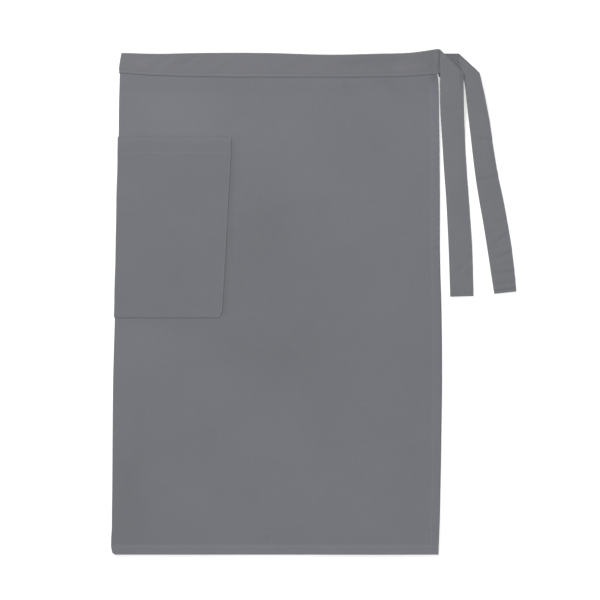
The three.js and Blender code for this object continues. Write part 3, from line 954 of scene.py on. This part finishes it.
def tie_rows(form):
    """Both end points of every grid row of a tie's middle surface, and each row's distance along it."""
    half, run = form["half"], form["run"]
    top_level = np.array([APRON_LENGTH])
    end_x = float(side_line(top_level, half)[0])
    at_end = np.array([end_x])
    level = float((upper_level if half > 0 else lower_level)(at_end, top_level)[0])
    end_top = float(bent(at_end, top_level)[0])
    out, down = heading(0), heading(form["lean"] - 90)
    right = np.array([-down[1], down[0], 0.0])
    crease = (out + down) / np.linalg.norm(out + down)
    beyond = np.array([-crease[1], crease[0], 0.0])
    slant = math.acos(float(out @ crease))
    inset = (CREASE_RADIUS + WALL / 2) * beyond[1]
    start = np.array([end_x + GAP + form["reach"], end_top - form["drop"] - inset, level])
    crease_width = TIE_WIDTH * float(run("width", 0.0))
    finish = start + crease * crease_width / math.sin(slant)
    rows = []
    # The tongue inside the band
    for x in (end_x - TONGUE, end_x - TONGUE / 2, end_x + GAP / 2):
        here = np.array([x])
        top = float(bent(here, top_level)[0]) - 2 * PITCH
        foot = float(bent(here, np.array([BAND_LOW + BAND_TUCK]))[0]) + 2 * GAP
        rows.append((np.array([x, top, level]), np.array([x, foot, level])))
    # Full width from the band's end to the crease, whose line is the slanting last row
    root_top = start - out * form["reach"]
    root_foot = root_top - np.array([0, TIE_WIDTH, 0])
    for share in np.linspace(0, 1, 10)[:-1]:
        rows.append((root_top + (start - root_top) * share, root_foot + (finish - root_foot) * share))
    # Half a turn round the crease
    for angle in np.linspace(0, math.pi, CREASE_TURN + 1):
        shift = crease * CREASE_RADIUS * angle / math.tan(slant) + beyond * CREASE_RADIUS * math.sin(angle)
        shift = shift + np.array([0, 0, CREASE_RADIUS * (1 - math.cos(angle))])
        rows.append((start + shift, finish + shift))
    # Down the hanging part, whose rows start slanted by skew and end square
    creased = len(rows)
    skew = crease_width / 2 / math.tan(slant)
    length = form["length"] - skew
    top = (start + finish) / 2 + crease * CREASE_RADIUS * math.pi / math.tan(slant)

    def middle(share):
        point = top + down * share * length + right * float(run("drift", share)) * length
        height = min(max(float(run("height", share)), 0), 1)
        point[2] = WALL / 2 + (level + 2 * CREASE_RADIUS - WALL / 2) * height
        return point

    shares = np.unique(np.r_[np.linspace(0, 1, HANG_ROWS), 1 - spread((0, 8, 0.8)) / length,
                             1 - spread(EDGE_STEPS) / length])[1:]
    for share in shares:
        ahead = (middle(share) - middle(share - 0.01)) * np.array([1, 1, 0])
        ahead = ahead / np.linalg.norm(ahead)
        aside = np.array([-ahead[1], ahead[0], 0.0]) * TIE_WIDTH / 2 * float(run("width", share))
        aside = aside + ahead * skew * (1 - share) ** 2
        rows.append((middle(share) - aside, middle(share) + aside))
    first = np.array([row[0] for row in rows])
    last = np.array([row[1] for row in rows])
    hang = np.concatenate([np.full(creased, -1.0), shares])
    return first, last, hang, length


def along_rows(first, last):
    """Distance of each row from the first, measured down the middle of the tie."""
    middle = (first + last) / 2
    return np.r_[0, np.cumsum(np.linalg.norm(np.diff(middle, axis=0), axis=1))]


# %% [markdown]
# The cloth of a tie
#
# A sewn strip is stiff across and limp along, so it dents and ridges across its width. Each dent is a
# narrow stroke over the strip, some of them only part of the way. The side that shows is puffed between
# two rows of stitches, and a deeper row holds the turned end.

# %% Ties
HANGS_FREE = (0.02, 0.12)
TIE_PUFF = 0.22
END_SUNK = 0.4
END_LINE = 0.9


def tie_lift(form, aside, along, hang, length):
    """How far a tie's hanging part stands off the surface, with its dents and ridges."""
    waves = cosine_waves(seed=form["seed"], shortest=22, longest=70, height=0.16)(aside, along)
    for row in form["wrinkles"]:
        slope = math.tan(math.radians(row["heading"]))
        distance = (hang - row["down"]) * length - (aside - TIE_WIDTH / 2) * slope
        off_middle = (aside / TIE_WIDTH - row.get("at", 0.5)) / row.get("span", 3.0)
        waves = waves + row["rise"] * np.exp(-(distance / row["wide"]) ** 2 - off_middle ** 2)
    return np.maximum(TIE_LOFT + waves, 0) * smoothstep(hang, *HANGS_FREE)


def painted_tie_shading(form, aside, from_end, hang):
    """Painted shade: a shadow before the crease, shade on the free edge just below it, and in the end's
    groove.
    """
    below_turn = np.exp(-((hang - HANGS_FREE[0]) / 0.06) ** 2)
    free_edge = below_turn * smoothstep(aside, TIE_WIDTH - 9, TIE_WIDTH - 2)
    end_line = np.exp(-((from_end - END_HEM) / END_LINE) ** 2)
    # Painted shadow and shade, drawn into the tie's colour
    painted_shading = np.where(hang < 0, form["root_shadow"], form["edge_shade"] * free_edge)
    return painted_shading + form["end_groove_shade"] * end_line


def make_tie(name, form):
    """A tie's shell: turned over, its back grid is the side that shows."""
    first, last, hang, length = tie_rows(form)
    from_left = spread(EDGE_STEPS, line_steps(TIE_STITCH, 1.5, 0.5), (3.5, TIE_WIDTH / 2, 2.5))
    share = np.unique(np.round(np.r_[from_left, TIE_WIDTH - from_left], 4)) / TIE_WIDTH
    points = first[:, None] + (last - first)[:, None] * share[None, :, None]
    normal = np.cross((last - first)[:, None], np.gradient(points, axis=0))
    normal /= np.linalg.norm(normal, axis=-1)[..., None]
    along = along_rows(first, last)[:, None] + 0 * share
    aside = share[None, :] * TIE_WIDTH + 0 * along
    from_edge = np.minimum(aside, TIE_WIDTH - aside)
    from_end = along[-1] - along
    hang = hang[:, None]
    points[..., 2] += tie_lift(form, aside, along, hang, length)
    sunk = groove(from_edge - TIE_STITCH) + groove(from_end - END_HEM, END_SUNK, END_LINE) * (hang > 0)
    puff = TIE_PUFF * smoothstep(from_edge, 3, 11)
    shown = smoothstep(hang, *HANGS_FREE) * (puff - sunk)
    half_wall = WALL / 2 * rounded(np.minimum(from_edge, from_end))
    front = points + normal * half_wall[..., None]
    back = points - normal * (half_wall + np.maximum(shown, -0.3))[..., None]
    return shell(name, front, back, aside, along, painted_tie_shading(form, aside, from_end, hang))


tie_front = make_tie("tie_front_sewn", FRONT_TIE)
tie_back = make_tie("tie_back_sewn", BACK_TIE)

# %% [markdown]
# Twill
#
# The cloth is a piece-dyed twill of cotton and polyester: fine slanting ribs, a matt surface, and yarns
# that are never quite even. A photographed swatch would repeat and blur, so the weave is drawn by nodes on
# the UV map, which holds millimetres along the cloth. Bands of a Wave Texture are the ribs. Long thin
# noise along both yarn directions gives the faint streaks that grey workwear has, and a slow cloudiness
# comes from dyeing and pressing. A little sheen stands for the fibre ends.

# %% Twill
def linear(code):
    """Linear RGBA of an sRGB hex colour."""
    values = [int(code[i:i + 2], 16) / 255 for i in (0, 2, 4)]
    return [v / 12.92 if v <= 0.04045 else ((v + 0.055) / 1.055) ** 2.4 for v in values] + [1.0]


def add(tree, kind, inputs=(), **settings):
    """Adds a node, sets its properties, and fills or links its inputs."""
    node = tree.nodes.new(kind)
    for key, value in settings.items():
        setattr(node, key, value)
    for key, value in dict(inputs).items():
        if isinstance(value, bpy.types.NodeSocket):
            tree.links.new(value, node.inputs[key])
        else:
            node.inputs[key].default_value = value
    return node


# A real rib is about 0.6 mm wide, far under a pixel here, so it is drawn as wide as it needs to show
RIB_PITCH = 1.1
RIB_ANGLE = 63.0
RIB_DEPTH = 0.12
# A Wave Texture of scale 1 repeats after this length
WAVE_BAND = math.tau / 20
# Streaks are a few yarns wide and as long as a yarn keeps its shade, and clouds are a hand wide
YARN_WIDTH = 1.6
YARN_LENGTH = 34.0
CLOUD_SIZE = 120.0


def twill(name, shade, light):
    """Grey piece-dyed twill: shade and light are the two sRGB ends of its uneven colour."""
    material = bpy.data.materials.new(name)
    material.use_nodes = True
    tree = material.node_tree
    tree.nodes.clear()
    flat = add(tree, "ShaderNodeUVMap", uv_map="cloth").outputs["UV"]
    turned = add(tree, "ShaderNodeMapping", {
        "Vector": flat, "Rotation": (0, 0, math.radians(RIB_ANGLE))}).outputs["Vector"]
    ribs = add(tree, "ShaderNodeTexWave", {
        "Vector": turned, "Scale": WAVE_BAND / RIB_PITCH, "Distortion": 0.6, "Detail": 1.0,
        "Detail Scale": 2.0}, wave_type="BANDS", bands_direction="X").outputs["Fac"]
    streaks = []
    for scale in ((1 / YARN_WIDTH, 1 / YARN_LENGTH, 1), (1 / YARN_LENGTH, 1 / YARN_WIDTH, 1)):
        thin = add(tree, "ShaderNodeMapping", {"Vector": flat, "Scale": scale}).outputs["Vector"]
        streaks.append(add(tree, "ShaderNodeTexNoise", {
            "Vector": thin, "Scale": 1.0, "Detail": 2.0, "Roughness": 0.6}).outputs["Fac"])
    clouds = add(tree, "ShaderNodeTexNoise", {
        "Vector": flat, "Scale": 1 / CLOUD_SIZE, "Detail": 3.0, "Roughness": 0.5}).outputs["Fac"]
    yarns = add(tree, "ShaderNodeMath", {0: streaks[0], 1: streaks[1]}, operation="ADD").outputs[0]
    uneven = add(tree, "ShaderNodeMath", {0: yarns, 1: clouds}, operation="ADD").outputs[0]
    even = add(tree, "ShaderNodeMapRange", {
        "Value": uneven, "From Min": 0.6, "From Max": 2.4, "To Min": 0.1, "To Max": 0.9}).outputs["Result"]
    # Painted light and shade: the painted_shading attribute moves the colour between its two greys
    painted_shading = add(tree, "ShaderNodeAttribute", attribute_name="painted_shading").outputs["Fac"]
    share = add(tree, "ShaderNodeMath", {0: even, 1: painted_shading}, operation="ADD", use_clamp=True).outputs[0]
    tint = add(tree, "ShaderNodeMix", {"Factor": share}, data_type="RGBA")
    tint.inputs[6].default_value = linear(shade)
    tint.inputs[7].default_value = linear(light)
    dim = add(tree, "ShaderNodeMapRange", {
        "Value": ribs, "To Min": 0.95, "To Max": 1.03}).outputs["Result"]
    colour = add(tree, "ShaderNodeVectorMath", {0: tint.outputs[2], "Scale": dim},
                 operation="SCALE").outputs["Vector"]
    height = add(tree, "ShaderNodeMath", {0: ribs, 1: yarns}, operation="ADD").outputs[0]
    relief = add(tree, "ShaderNodeBump", {
        "Height": height, "Strength": 0.5, "Distance": RIB_DEPTH * MM}).outputs["Normal"]
    rough = add(tree, "ShaderNodeMapRange", {
        "Value": streaks[0], "To Min": 0.84, "To Max": 0.96}).outputs["Result"]
    surface = add(tree, "ShaderNodeBsdfPrincipled", {
        "Base Color": colour, "Roughness": rough, "Normal": relief, "Specular IOR Level": 0.25,
        "Sheen Weight": 0.12, "Sheen Roughness": 0.5, "Sheen Tint": (0.8, 0.8, 0.82, 1)})
    add(tree, "ShaderNodeOutputMaterial", {"Surface": surface.outputs["BSDF"]})
    return material


# One dye lot, with the greys of the pieces set a shade apart
panel_twill = twill("Grey cotton polyester twill, single", "5f6064", "6c6d72")
band_twill = twill("Grey cotton polyester twill, doubled band", "5f6064", "6c6c71")
pocket_twill = twill("Grey cotton polyester twill, pocket", "5e5f63", "6a6b70")
tie_twill = twill("Grey cotton polyester twill, ties", "5f6064", "6e6f73")
print("twill has ribs", RIB_PITCH, "mm apart and streaks", YARN_WIDTH, "mm wide")

# %% [markdown]
# Sewing thread
#
# The seams are sewn with a spun polyester thread in the cloth's grey. Being smooth and round, it catches
# a little more light than the twill, which is why the seams read as thin pale lines. At half a millimetre
# it needs only a faint mottle, so a plain noise is enough.

# %% Thread
def thread_material():
    """Spun polyester sewing thread, slightly glossier and lighter than the cloth."""
    material = bpy.data.materials.new("Grey spun polyester sewing thread")
    material.use_nodes = True
    tree = material.node_tree
    tree.nodes.clear()
    place = add(tree, "ShaderNodeTexCoord").outputs["Object"]
    mottle = add(tree, "ShaderNodeTexNoise", {
        "Vector": place, "Scale": 1 / (3 * MM), "Detail": 2.0}).outputs["Fac"]
    tint = add(tree, "ShaderNodeMix", {"Factor": mottle}, data_type="RGBA")
    tint.inputs[6].default_value = linear("787a7e")
    tint.inputs[7].default_value = linear("888a8f")
    surface = add(tree, "ShaderNodeBsdfPrincipled", {
        "Base Color": tint.outputs[2], "Roughness": 0.6, "Specular IOR Level": 0.4})
    add(tree, "ShaderNodeOutputMaterial", {"Surface": surface.outputs["BSDF"]})
    return material


thread = thread_material()
for piece, material in ((panel, panel_twill), (pocket, pocket_twill), (band, band_twill),
                        (tie_front, tie_twill), (tie_back, tie_twill)):
    piece.data.materials.append(material)

# %% [markdown]
# Stitches by Geometry Nodes
#
# A lockstitch seam is a row of short thread loops, each sunk a little at both ends. An Array modifier on a
# curve could repeat one, but would bend it and lose the way the cloth faces. Geometry Nodes keep both: a
# line of points that knows which way the cloth faces is resampled at the stitch length, and a small bead
# of thread is set on every point, turned along the seam.

# %% Stitch tree
# A heavy topstitch thread, drawn at full thickness so that it shows
STITCH_PITCH = 3.3
STITCH_LENGTH = 2.7
THREAD = 0.5


def stitch_tree():
    tree = bpy.data.node_groups.new("lockstitch row", "GeometryNodeTree")
    tree.interface.new_socket("Seam", in_out="INPUT", socket_type="NodeSocketGeometry")
    for name in ("Pitch", "Length", "Thickness"):
        tree.interface.new_socket(name, in_out="INPUT", socket_type="NodeSocketFloat")
    tree.interface.new_socket("Thread", in_out="INPUT", socket_type="NodeSocketMaterial")
    tree.interface.new_socket("Stitches", in_out="OUTPUT", socket_type="NodeSocketGeometry")
    given = add(tree, "NodeGroupInput").outputs
    path = add(tree, "GeometryNodeMeshToCurve", {"Mesh": given["Seam"]}).outputs["Curve"]
    spaced = add(tree, "GeometryNodeResampleCurve", {"Curve": path, "Length": given["Pitch"]},
                 mode="LENGTH").outputs["Curve"]
    tangent = add(tree, "GeometryNodeInputTangent").outputs["Tangent"]
    facing = add(tree, "GeometryNodeInputNamedAttribute", {"Name": "facing"},
                 data_type="FLOAT_VECTOR").outputs["Attribute"]
    turned = add(tree, "FunctionNodeAlignRotationToVector", {"Vector": tangent},
                 axis="X").outputs["Rotation"]
    upright = add(tree, "FunctionNodeAlignRotationToVector", {"Rotation": turned, "Vector": facing},
                  axis="Z", pivot_axis="X").outputs["Rotation"]
    flatness = add(tree, "ShaderNodeMath", {0: given["Thickness"], 1: 0.7},
                   operation="MULTIPLY").outputs[0]
    size = add(tree, "ShaderNodeCombineXYZ", {
        "X": given["Length"], "Y": given["Thickness"], "Z": flatness}).outputs["Vector"]
    bead = add(tree, "GeometryNodeMeshUVSphere", {"Segments": 6, "Rings": 4, "Radius": 0.5}).outputs["Mesh"]
    loop = add(tree, "GeometryNodeTransform", {"Geometry": bead, "Scale": size}).outputs["Geometry"]
    vary = add(tree, "FunctionNodeRandomValue", {
        "Min": (0.93, 0.9, 0.9), "Max": (1.03, 1.1, 1.1), "Seed": 5},
        data_type="FLOAT_VECTOR").outputs["Value"]
    row = add(tree, "GeometryNodeInstanceOnPoints", {
        "Points": spaced, "Instance": loop, "Rotation": upright, "Scale": vary}).outputs["Instances"]
    real = add(tree, "GeometryNodeRealizeInstances", {"Geometry": row}).outputs["Geometry"]
    smooth = add(tree, "GeometryNodeSetShadeSmooth", {"Geometry": real}).outputs["Geometry"]
    dyed = add(tree, "GeometryNodeSetMaterial", {"Geometry": smooth, "Material": given["Thread"]})
    add(tree, "NodeGroupOutput", {"Stitches": dyed.outputs["Geometry"]})
    return tree


lockstitch = stitch_tree()
print("stitches are", STITCH_LENGTH, "mm long,", STITCH_PITCH, "mm apart")

# %% [markdown]
# Sewing along a path
#
# Each seam becomes a mesh of points and edges that carries the tree. Its inputs are set before it is first
# evaluated, and the result is copied to a plain mesh, because the export keeps no instances. Where the
# apron's weight presses a stitch into the floor, it is pushed flat.

# %% Sew
def sew(name, seams):
    """Stitches along seams, each a pair of arrays: points in millimetres and outward directions.

    A stitch that would reach below the floor is pressed flat on it, as the cloth's weight does.
    """
    mesh = bpy.data.meshes.new(name + "_path")
    points = np.concatenate([seam[0] for seam in seams]) + to_frame
    facing = np.concatenate([seam[1] for seam in seams])
    edges, first = [], 0
    for seam in seams:
        edges += [(i, i + 1) for i in range(first, first + len(seam[0]) - 1)]
        first += len(seam[0])
    mesh.from_pydata((points * MM).tolist(), edges, [])
    mesh.attributes.new("facing", "FLOAT_VECTOR", "POINT").data.foreach_set("vector", facing.ravel())
    path = bpy.data.objects.new(name + "_path", mesh)
    bpy.context.scene.collection.objects.link(path)
    modifier = path.modifiers.new("stitches", "NODES")
    modifier.node_group = lockstitch
    sockets = {item.name: item.identifier for item in lockstitch.interface.items_tree}
    sizes = {"Pitch": STITCH_PITCH * MM, "Length": STITCH_LENGTH * MM, "Thickness": THREAD * MM}
    for socket, value in {**sizes, "Thread": thread}.items():
        modifier[sockets[socket]] = value
    evaluated = path.evaluated_get(bpy.context.evaluated_depsgraph_get())
    stitches = bpy.data.meshes.new_from_object(evaluated)
    places = np.empty(len(stitches.vertices) * 3)
    stitches.vertices.foreach_get("co", places)
    places[2::3] = np.maximum(places[2::3], 0)
    stitches.vertices.foreach_set("co", places)
    bpy.data.objects.remove(path)
    stitches.name = name
    done = bpy.data.objects.new(name, stitches)
    bpy.context.scene.collection.objects.link(done)
    print(name, "has", len(done.data.polygons), "faces")
    return done


# %% [markdown]
# Where the seams run
#
# The real seams run down both side hems, along the foot, round the pocket, under its mouth and along the
# waistband, on both halves. Shrinkwrapping lines onto the pieces would find them, but it slips at the
# edges. Each seam here asks the same functions that shaped the cloth: its height is the cloth's outer
# height less the groove, and its direction is the cloth's own outward one.

# %% Paths of the seams
SEAM_STEP = 4.0
# The middle of a stitch lies this far under the cloth's outside, and on the lower half deeper again
SUNK = 0.09
UNDER_SIT = 0.16


def seam_along(levels, columns, height, raised):
    """A seam up each half at one distance from the fold: its height over the cloth's middle, and how
    far a hem raises it on the upper half."""
    points, outs, _ = folded(levels, columns)
    under, over = points[:, 0], points[:, -1]
    under = under + outs[:, 0] * (height - UNDER_SIT)
    over = over + outs[:, -1] * (height + raised(over[:, 0], levels))[:, None]
    return [(under, outs[:, 0]), (over, outs[:, -1])]


def seam_around(level, columns, height, raised):
    """One seam across both halves and round the fold at one level."""
    points, outs, _ = folded(np.array([level]), columns)
    points, outs = points[0], outs[0]
    upper = smoothstep(outs[:, 2], 0, 1)
    sit = height - UNDER_SIT * (1 - smoothstep(outs[:, 2], -1, 0))
    sit = sit + raised(points[:, 0], np.full(len(points), level)) * upper
    return (points + outs * sit[:, None], outs)


def wide_columns(distance):
    """Columns from the fold out to a distance, a seam step apart."""
    def columns(y, half):
        reach = distance(y, half)
        return reach * spread((0, 1, SEAM_STEP / 500))[None, :]
    return columns


def side_reach(inset):
    """Distance from the fold out to a line this far inside the side edge."""
    return lambda y, half: side_line(y, half) - fold_line(y) - inset


def pocket_reach(y, half):
    """Distance from the fold out to the stitches of the pocket's side."""
    return pocket_edge(y) - POCKET_STITCH


# %% [markdown]
# Seams of the panel, pocket and band
#
# The side hems and the foot hem of the panel are one object, and so are all rows of the pocket, because
# each object has to ride on the cloth that it is sewn through.

# %% Seams of the panel, pocket and band
panel_sit = WALL / 2 - SUNK
panel_rows = spread((2, BAND_LOW - 2, SEAM_STEP))
panel_seams = seam_along(panel_rows, side_reach(SIDE_HEM - STITCH_INSET), panel_sit,
                         lambda x, y: HEM_SHOW * (1 - inside_band(y)))
panel_seams.append(seam_around(BOTTOM_HEM - STITCH_INSET, wide_columns(side_reach(2)), panel_sit,
                               lambda x, y: HEM_SHOW + 0 * x))
panel_stitching = sew("panel_stitching", panel_seams)

pocket_sit = INNER + WALL - SUNK + RIM_RISE
mouth_sit = INNER + WALL
pocket_rows = spread((POCKET_FOOT + POCKET_STITCH, POCKET_TOP - 1.5, SEAM_STEP))
pocket_seams = seam_along(pocket_rows, pocket_reach, pocket_sit, lambda x, y: mouth_hem(y))
pocket_seams.append(seam_around(POCKET_FOOT + POCKET_STITCH, wide_columns(pocket_reach), pocket_sit,
                                lambda x, y: 0 * x))
pocket_seams.append(seam_around(
    POCKET_TOP - POCKET_HEM + STITCH_INSET, wide_columns(pocket_reach), mouth_sit,
    lambda x, y: mouth_hem(y) + pocket_loft(x, y, np.minimum(POCKET_TOP - y, from_pocket_side(x, y)))))
pocket_stitching = sew("pocket_stitching", pocket_seams)

# The band's puff has risen this far where the stitches run
BAND_RISEN = 0.2
band_sit = PITCH + WALL / 2 - BAND_SUNK
band_seams = [seam_around(BAND_LOW + BAND_STITCH, wide_columns(side_reach(1.5)), band_sit,
                          lambda x, y: BAND_RISEN + 0 * x)]
band_stitching = sew("waistband_stitching", band_seams)

# %% [markdown]
# Seams of the ties
#
# A tie is a strip turned inside and sewn shut, so a row of stitches runs near each long edge and across
# the end. They take the same lift as the cloth below them, and start where the tie leaves its crease.

# %% Seams of the ties
def tie_seams(form):
    """Seams near both long edges of the hanging part and across its end, on the side that shows."""
    first, last, hang, length = tie_rows(form)
    along = along_rows(first, last)
    across = (last - first) / np.linalg.norm(last - first, axis=1)[:, None]

    def on_cloth(line, aside):
        raised = tie_lift(form, aside, along, hang, length) - SUNK * smoothstep(hang, *HANGS_FREE)
        line[:, 2] += WALL / 2 + raised
        return line

    left = on_cloth(first + across * TIE_STITCH, np.full(len(first), TIE_STITCH))
    right = on_cloth(last - across * TIE_STITCH, np.full(len(last), TIE_WIDTH - TIE_STITCH))
    keep = (hang > HANGS_FREE[0]) & (along < along[-1] - END_HEM)
    lines = [left[keep], right[keep]]
    lines.append(np.linspace(lines[0][-1], lines[1][-1], 12))
    return [(line, np.tile([0.0, 0.0, 1.0], (len(line), 1))) for line in lines]


tie_front_stitching = sew("tie_front_stitching", tie_seams(FRONT_TIE))
tie_back_stitching = sew("tie_back_stitching", tie_seams(BACK_TIE))

# %% [markdown]
# Who rides on what
#
# Nothing here has a joint: cloth moves by changing its shape. So every piece rides on the one body. Each
# sewn piece hides the solid that it stands for, and prints the size that its cloth was cut to.

# %% Riding on the body
def declare(piece, stitching, node, flat):
    """Attaches a sewn piece and its stitches to the body and hides its solid. Its flat size, in
    millimetres, is printed.
    """
    for part in (piece, stitching):
        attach(part, "root")
    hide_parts(node)
    print(node, "was cut to", [round(side) for side in flat], "mm")


# Flat size of each cloth as laid out: full widths, with the hairpin of the band opened out
panel_flat = (2 * HEM_HALF_WIDTH + 2 * SIDE_BOW, BAND_LOW + BAND_TUCK)
pocket_flat = (2 * POCKET_HALF_TOP, POCKET_HEIGHT)
band_flat = (2 * WAIST_HALF_WIDTH, 2 * BAND_HEIGHT)
front_flat, back_flat = [(TIE_WIDTH, tie["length"] + tie["spare"]) for tie in (FRONT_TIE, BACK_TIE)]
declare(panel, panel_stitching, "apron_panel", panel_flat)
declare(pocket, pocket_stitching, "front_pocket", pocket_flat)
declare(band, band_stitching, "waistband", band_flat)
declare(tie_front, tie_front_stitching, "tie_front", front_flat)
declare(tie_back, tie_back_stitching, "tie_back", back_flat)

# %% [markdown]
# Floor
#
# The apron lies on a plain near-white surface. One large square of matt white board is enough, because
# nothing but soft shadows and a little bounced light come from it.

# %% Floor
def plain_floor():
    mesh = bpy.data.meshes.new("floor")
    reach = 8.0
    mesh.from_pydata([(-reach, -reach, 0), (reach, -reach, 0), (reach, reach, 0), (-reach, reach, 0)],
                     [], [(0, 1, 2, 3)])
    material = bpy.data.materials.new("Matt white painted board")
    material.use_nodes = True
    surface = material.node_tree.nodes["Principled BSDF"]
    surface.inputs["Base Color"].default_value = linear("f7f7f7")
    surface.inputs["Roughness"].default_value = 0.9
    surface.inputs["Specular IOR Level"].default_value = 0.1
    mesh.materials.append(material)
    floor = bpy.data.objects.new("floor", mesh)
    bpy.context.scene.collection.objects.link(floor)
    return floor


plain_floor()
print("floor is level with z = 0")

# %% [markdown]
# Light
#
# Flat products are lit softly from above, so that shadows are thin. A high lamp over the middle reaches
# into the narrow gaps, a key from the upper left draws the edges, and a weak one close by lifts the waist,
# which is a shade paler. An even pale surround fills the rest. One sun lamp would be simpler, but its
# shadows would be as hard at the ties as at the hems.

# %% Light
def soft_light(name, place, target, size, power):
    """A round area lamp: its place, what it points at and its size in metres, and its power in watts."""
    light = bpy.data.lights.new(name, "AREA")
    light.shape = "DISK"
    light.size = size
    light.energy = power
    lamp = bpy.data.objects.new(name, light)
    lamp.location = place
    lamp.rotation_euler = (Vector(target) - Vector(place)).to_track_quat("-Z", "Y").to_euler()
    bpy.context.scene.collection.objects.link(lamp)
    return lamp


soft_light("overhead", (0.15, -0.4, 3.7), (0, -0.05, 0), 0.8, 93)
soft_light("key", (-1.7, 2.3, 2.3), (0, 0, 0), 1.3, 48)
soft_light("near the waist", (-0.45, 0.95, 0.75), (-0.1, 0.2, 0), 0.5, 2.0)
world = bpy.data.worlds.new("pale surround")
world.use_nodes = True
world.node_tree.nodes["Background"].inputs["Color"].default_value = (1, 1, 1, 1)
world.node_tree.nodes["Background"].inputs["Strength"].default_value = 0.35
bpy.context.scene.world = world
bpy.context.scene.view_settings.view_transform = "Standard"

# %% [markdown]
# Camera
#
# The camera hangs straight above, so nothing leans. A long lens three metres up keeps the apron's sides
# parallel, as an orthographic camera would, and still lets a raised fold hide a hair more behind it. The
# focal length follows from how many millimetres of apron one pixel of the frame covers.

# %% Camera
PIXEL = 1.554
FRAME_PIXELS = 600
CAMERA_HEIGHT = 3.0
# Height of the cloth that the pixel size holds for, and how far from the solids' middle the camera is
CLOTH_TOP = 6.0
AIM = (-21.2, 3.0)
camera_data = bpy.data.cameras.new("camera")
camera_data.sensor_width = 36.0
camera_data.lens = camera_data.sensor_width * CAMERA_HEIGHT / (PIXEL * FRAME_PIXELS * MM)
camera = bpy.data.objects.new("camera", camera_data)
middle_x = (cad_box[0][0] + cad_box[1][0]) / 2
middle_y = (cad_box[0][1] + cad_box[1][1]) / 2
camera.location = (middle_x + AIM[0] * MM, middle_y + AIM[1] * MM, CAMERA_HEIGHT + CLOTH_TOP * MM)
bpy.context.scene.collection.objects.link(camera)
bpy.context.scene.camera = camera
print("lens", round(camera_data.lens, 1), "mm")

# %% [markdown]
# The solids' box
#
# The box round the solids, kept from when only the solids were there, is printed.

# %% Box of the solids
print("solids", cad_box)
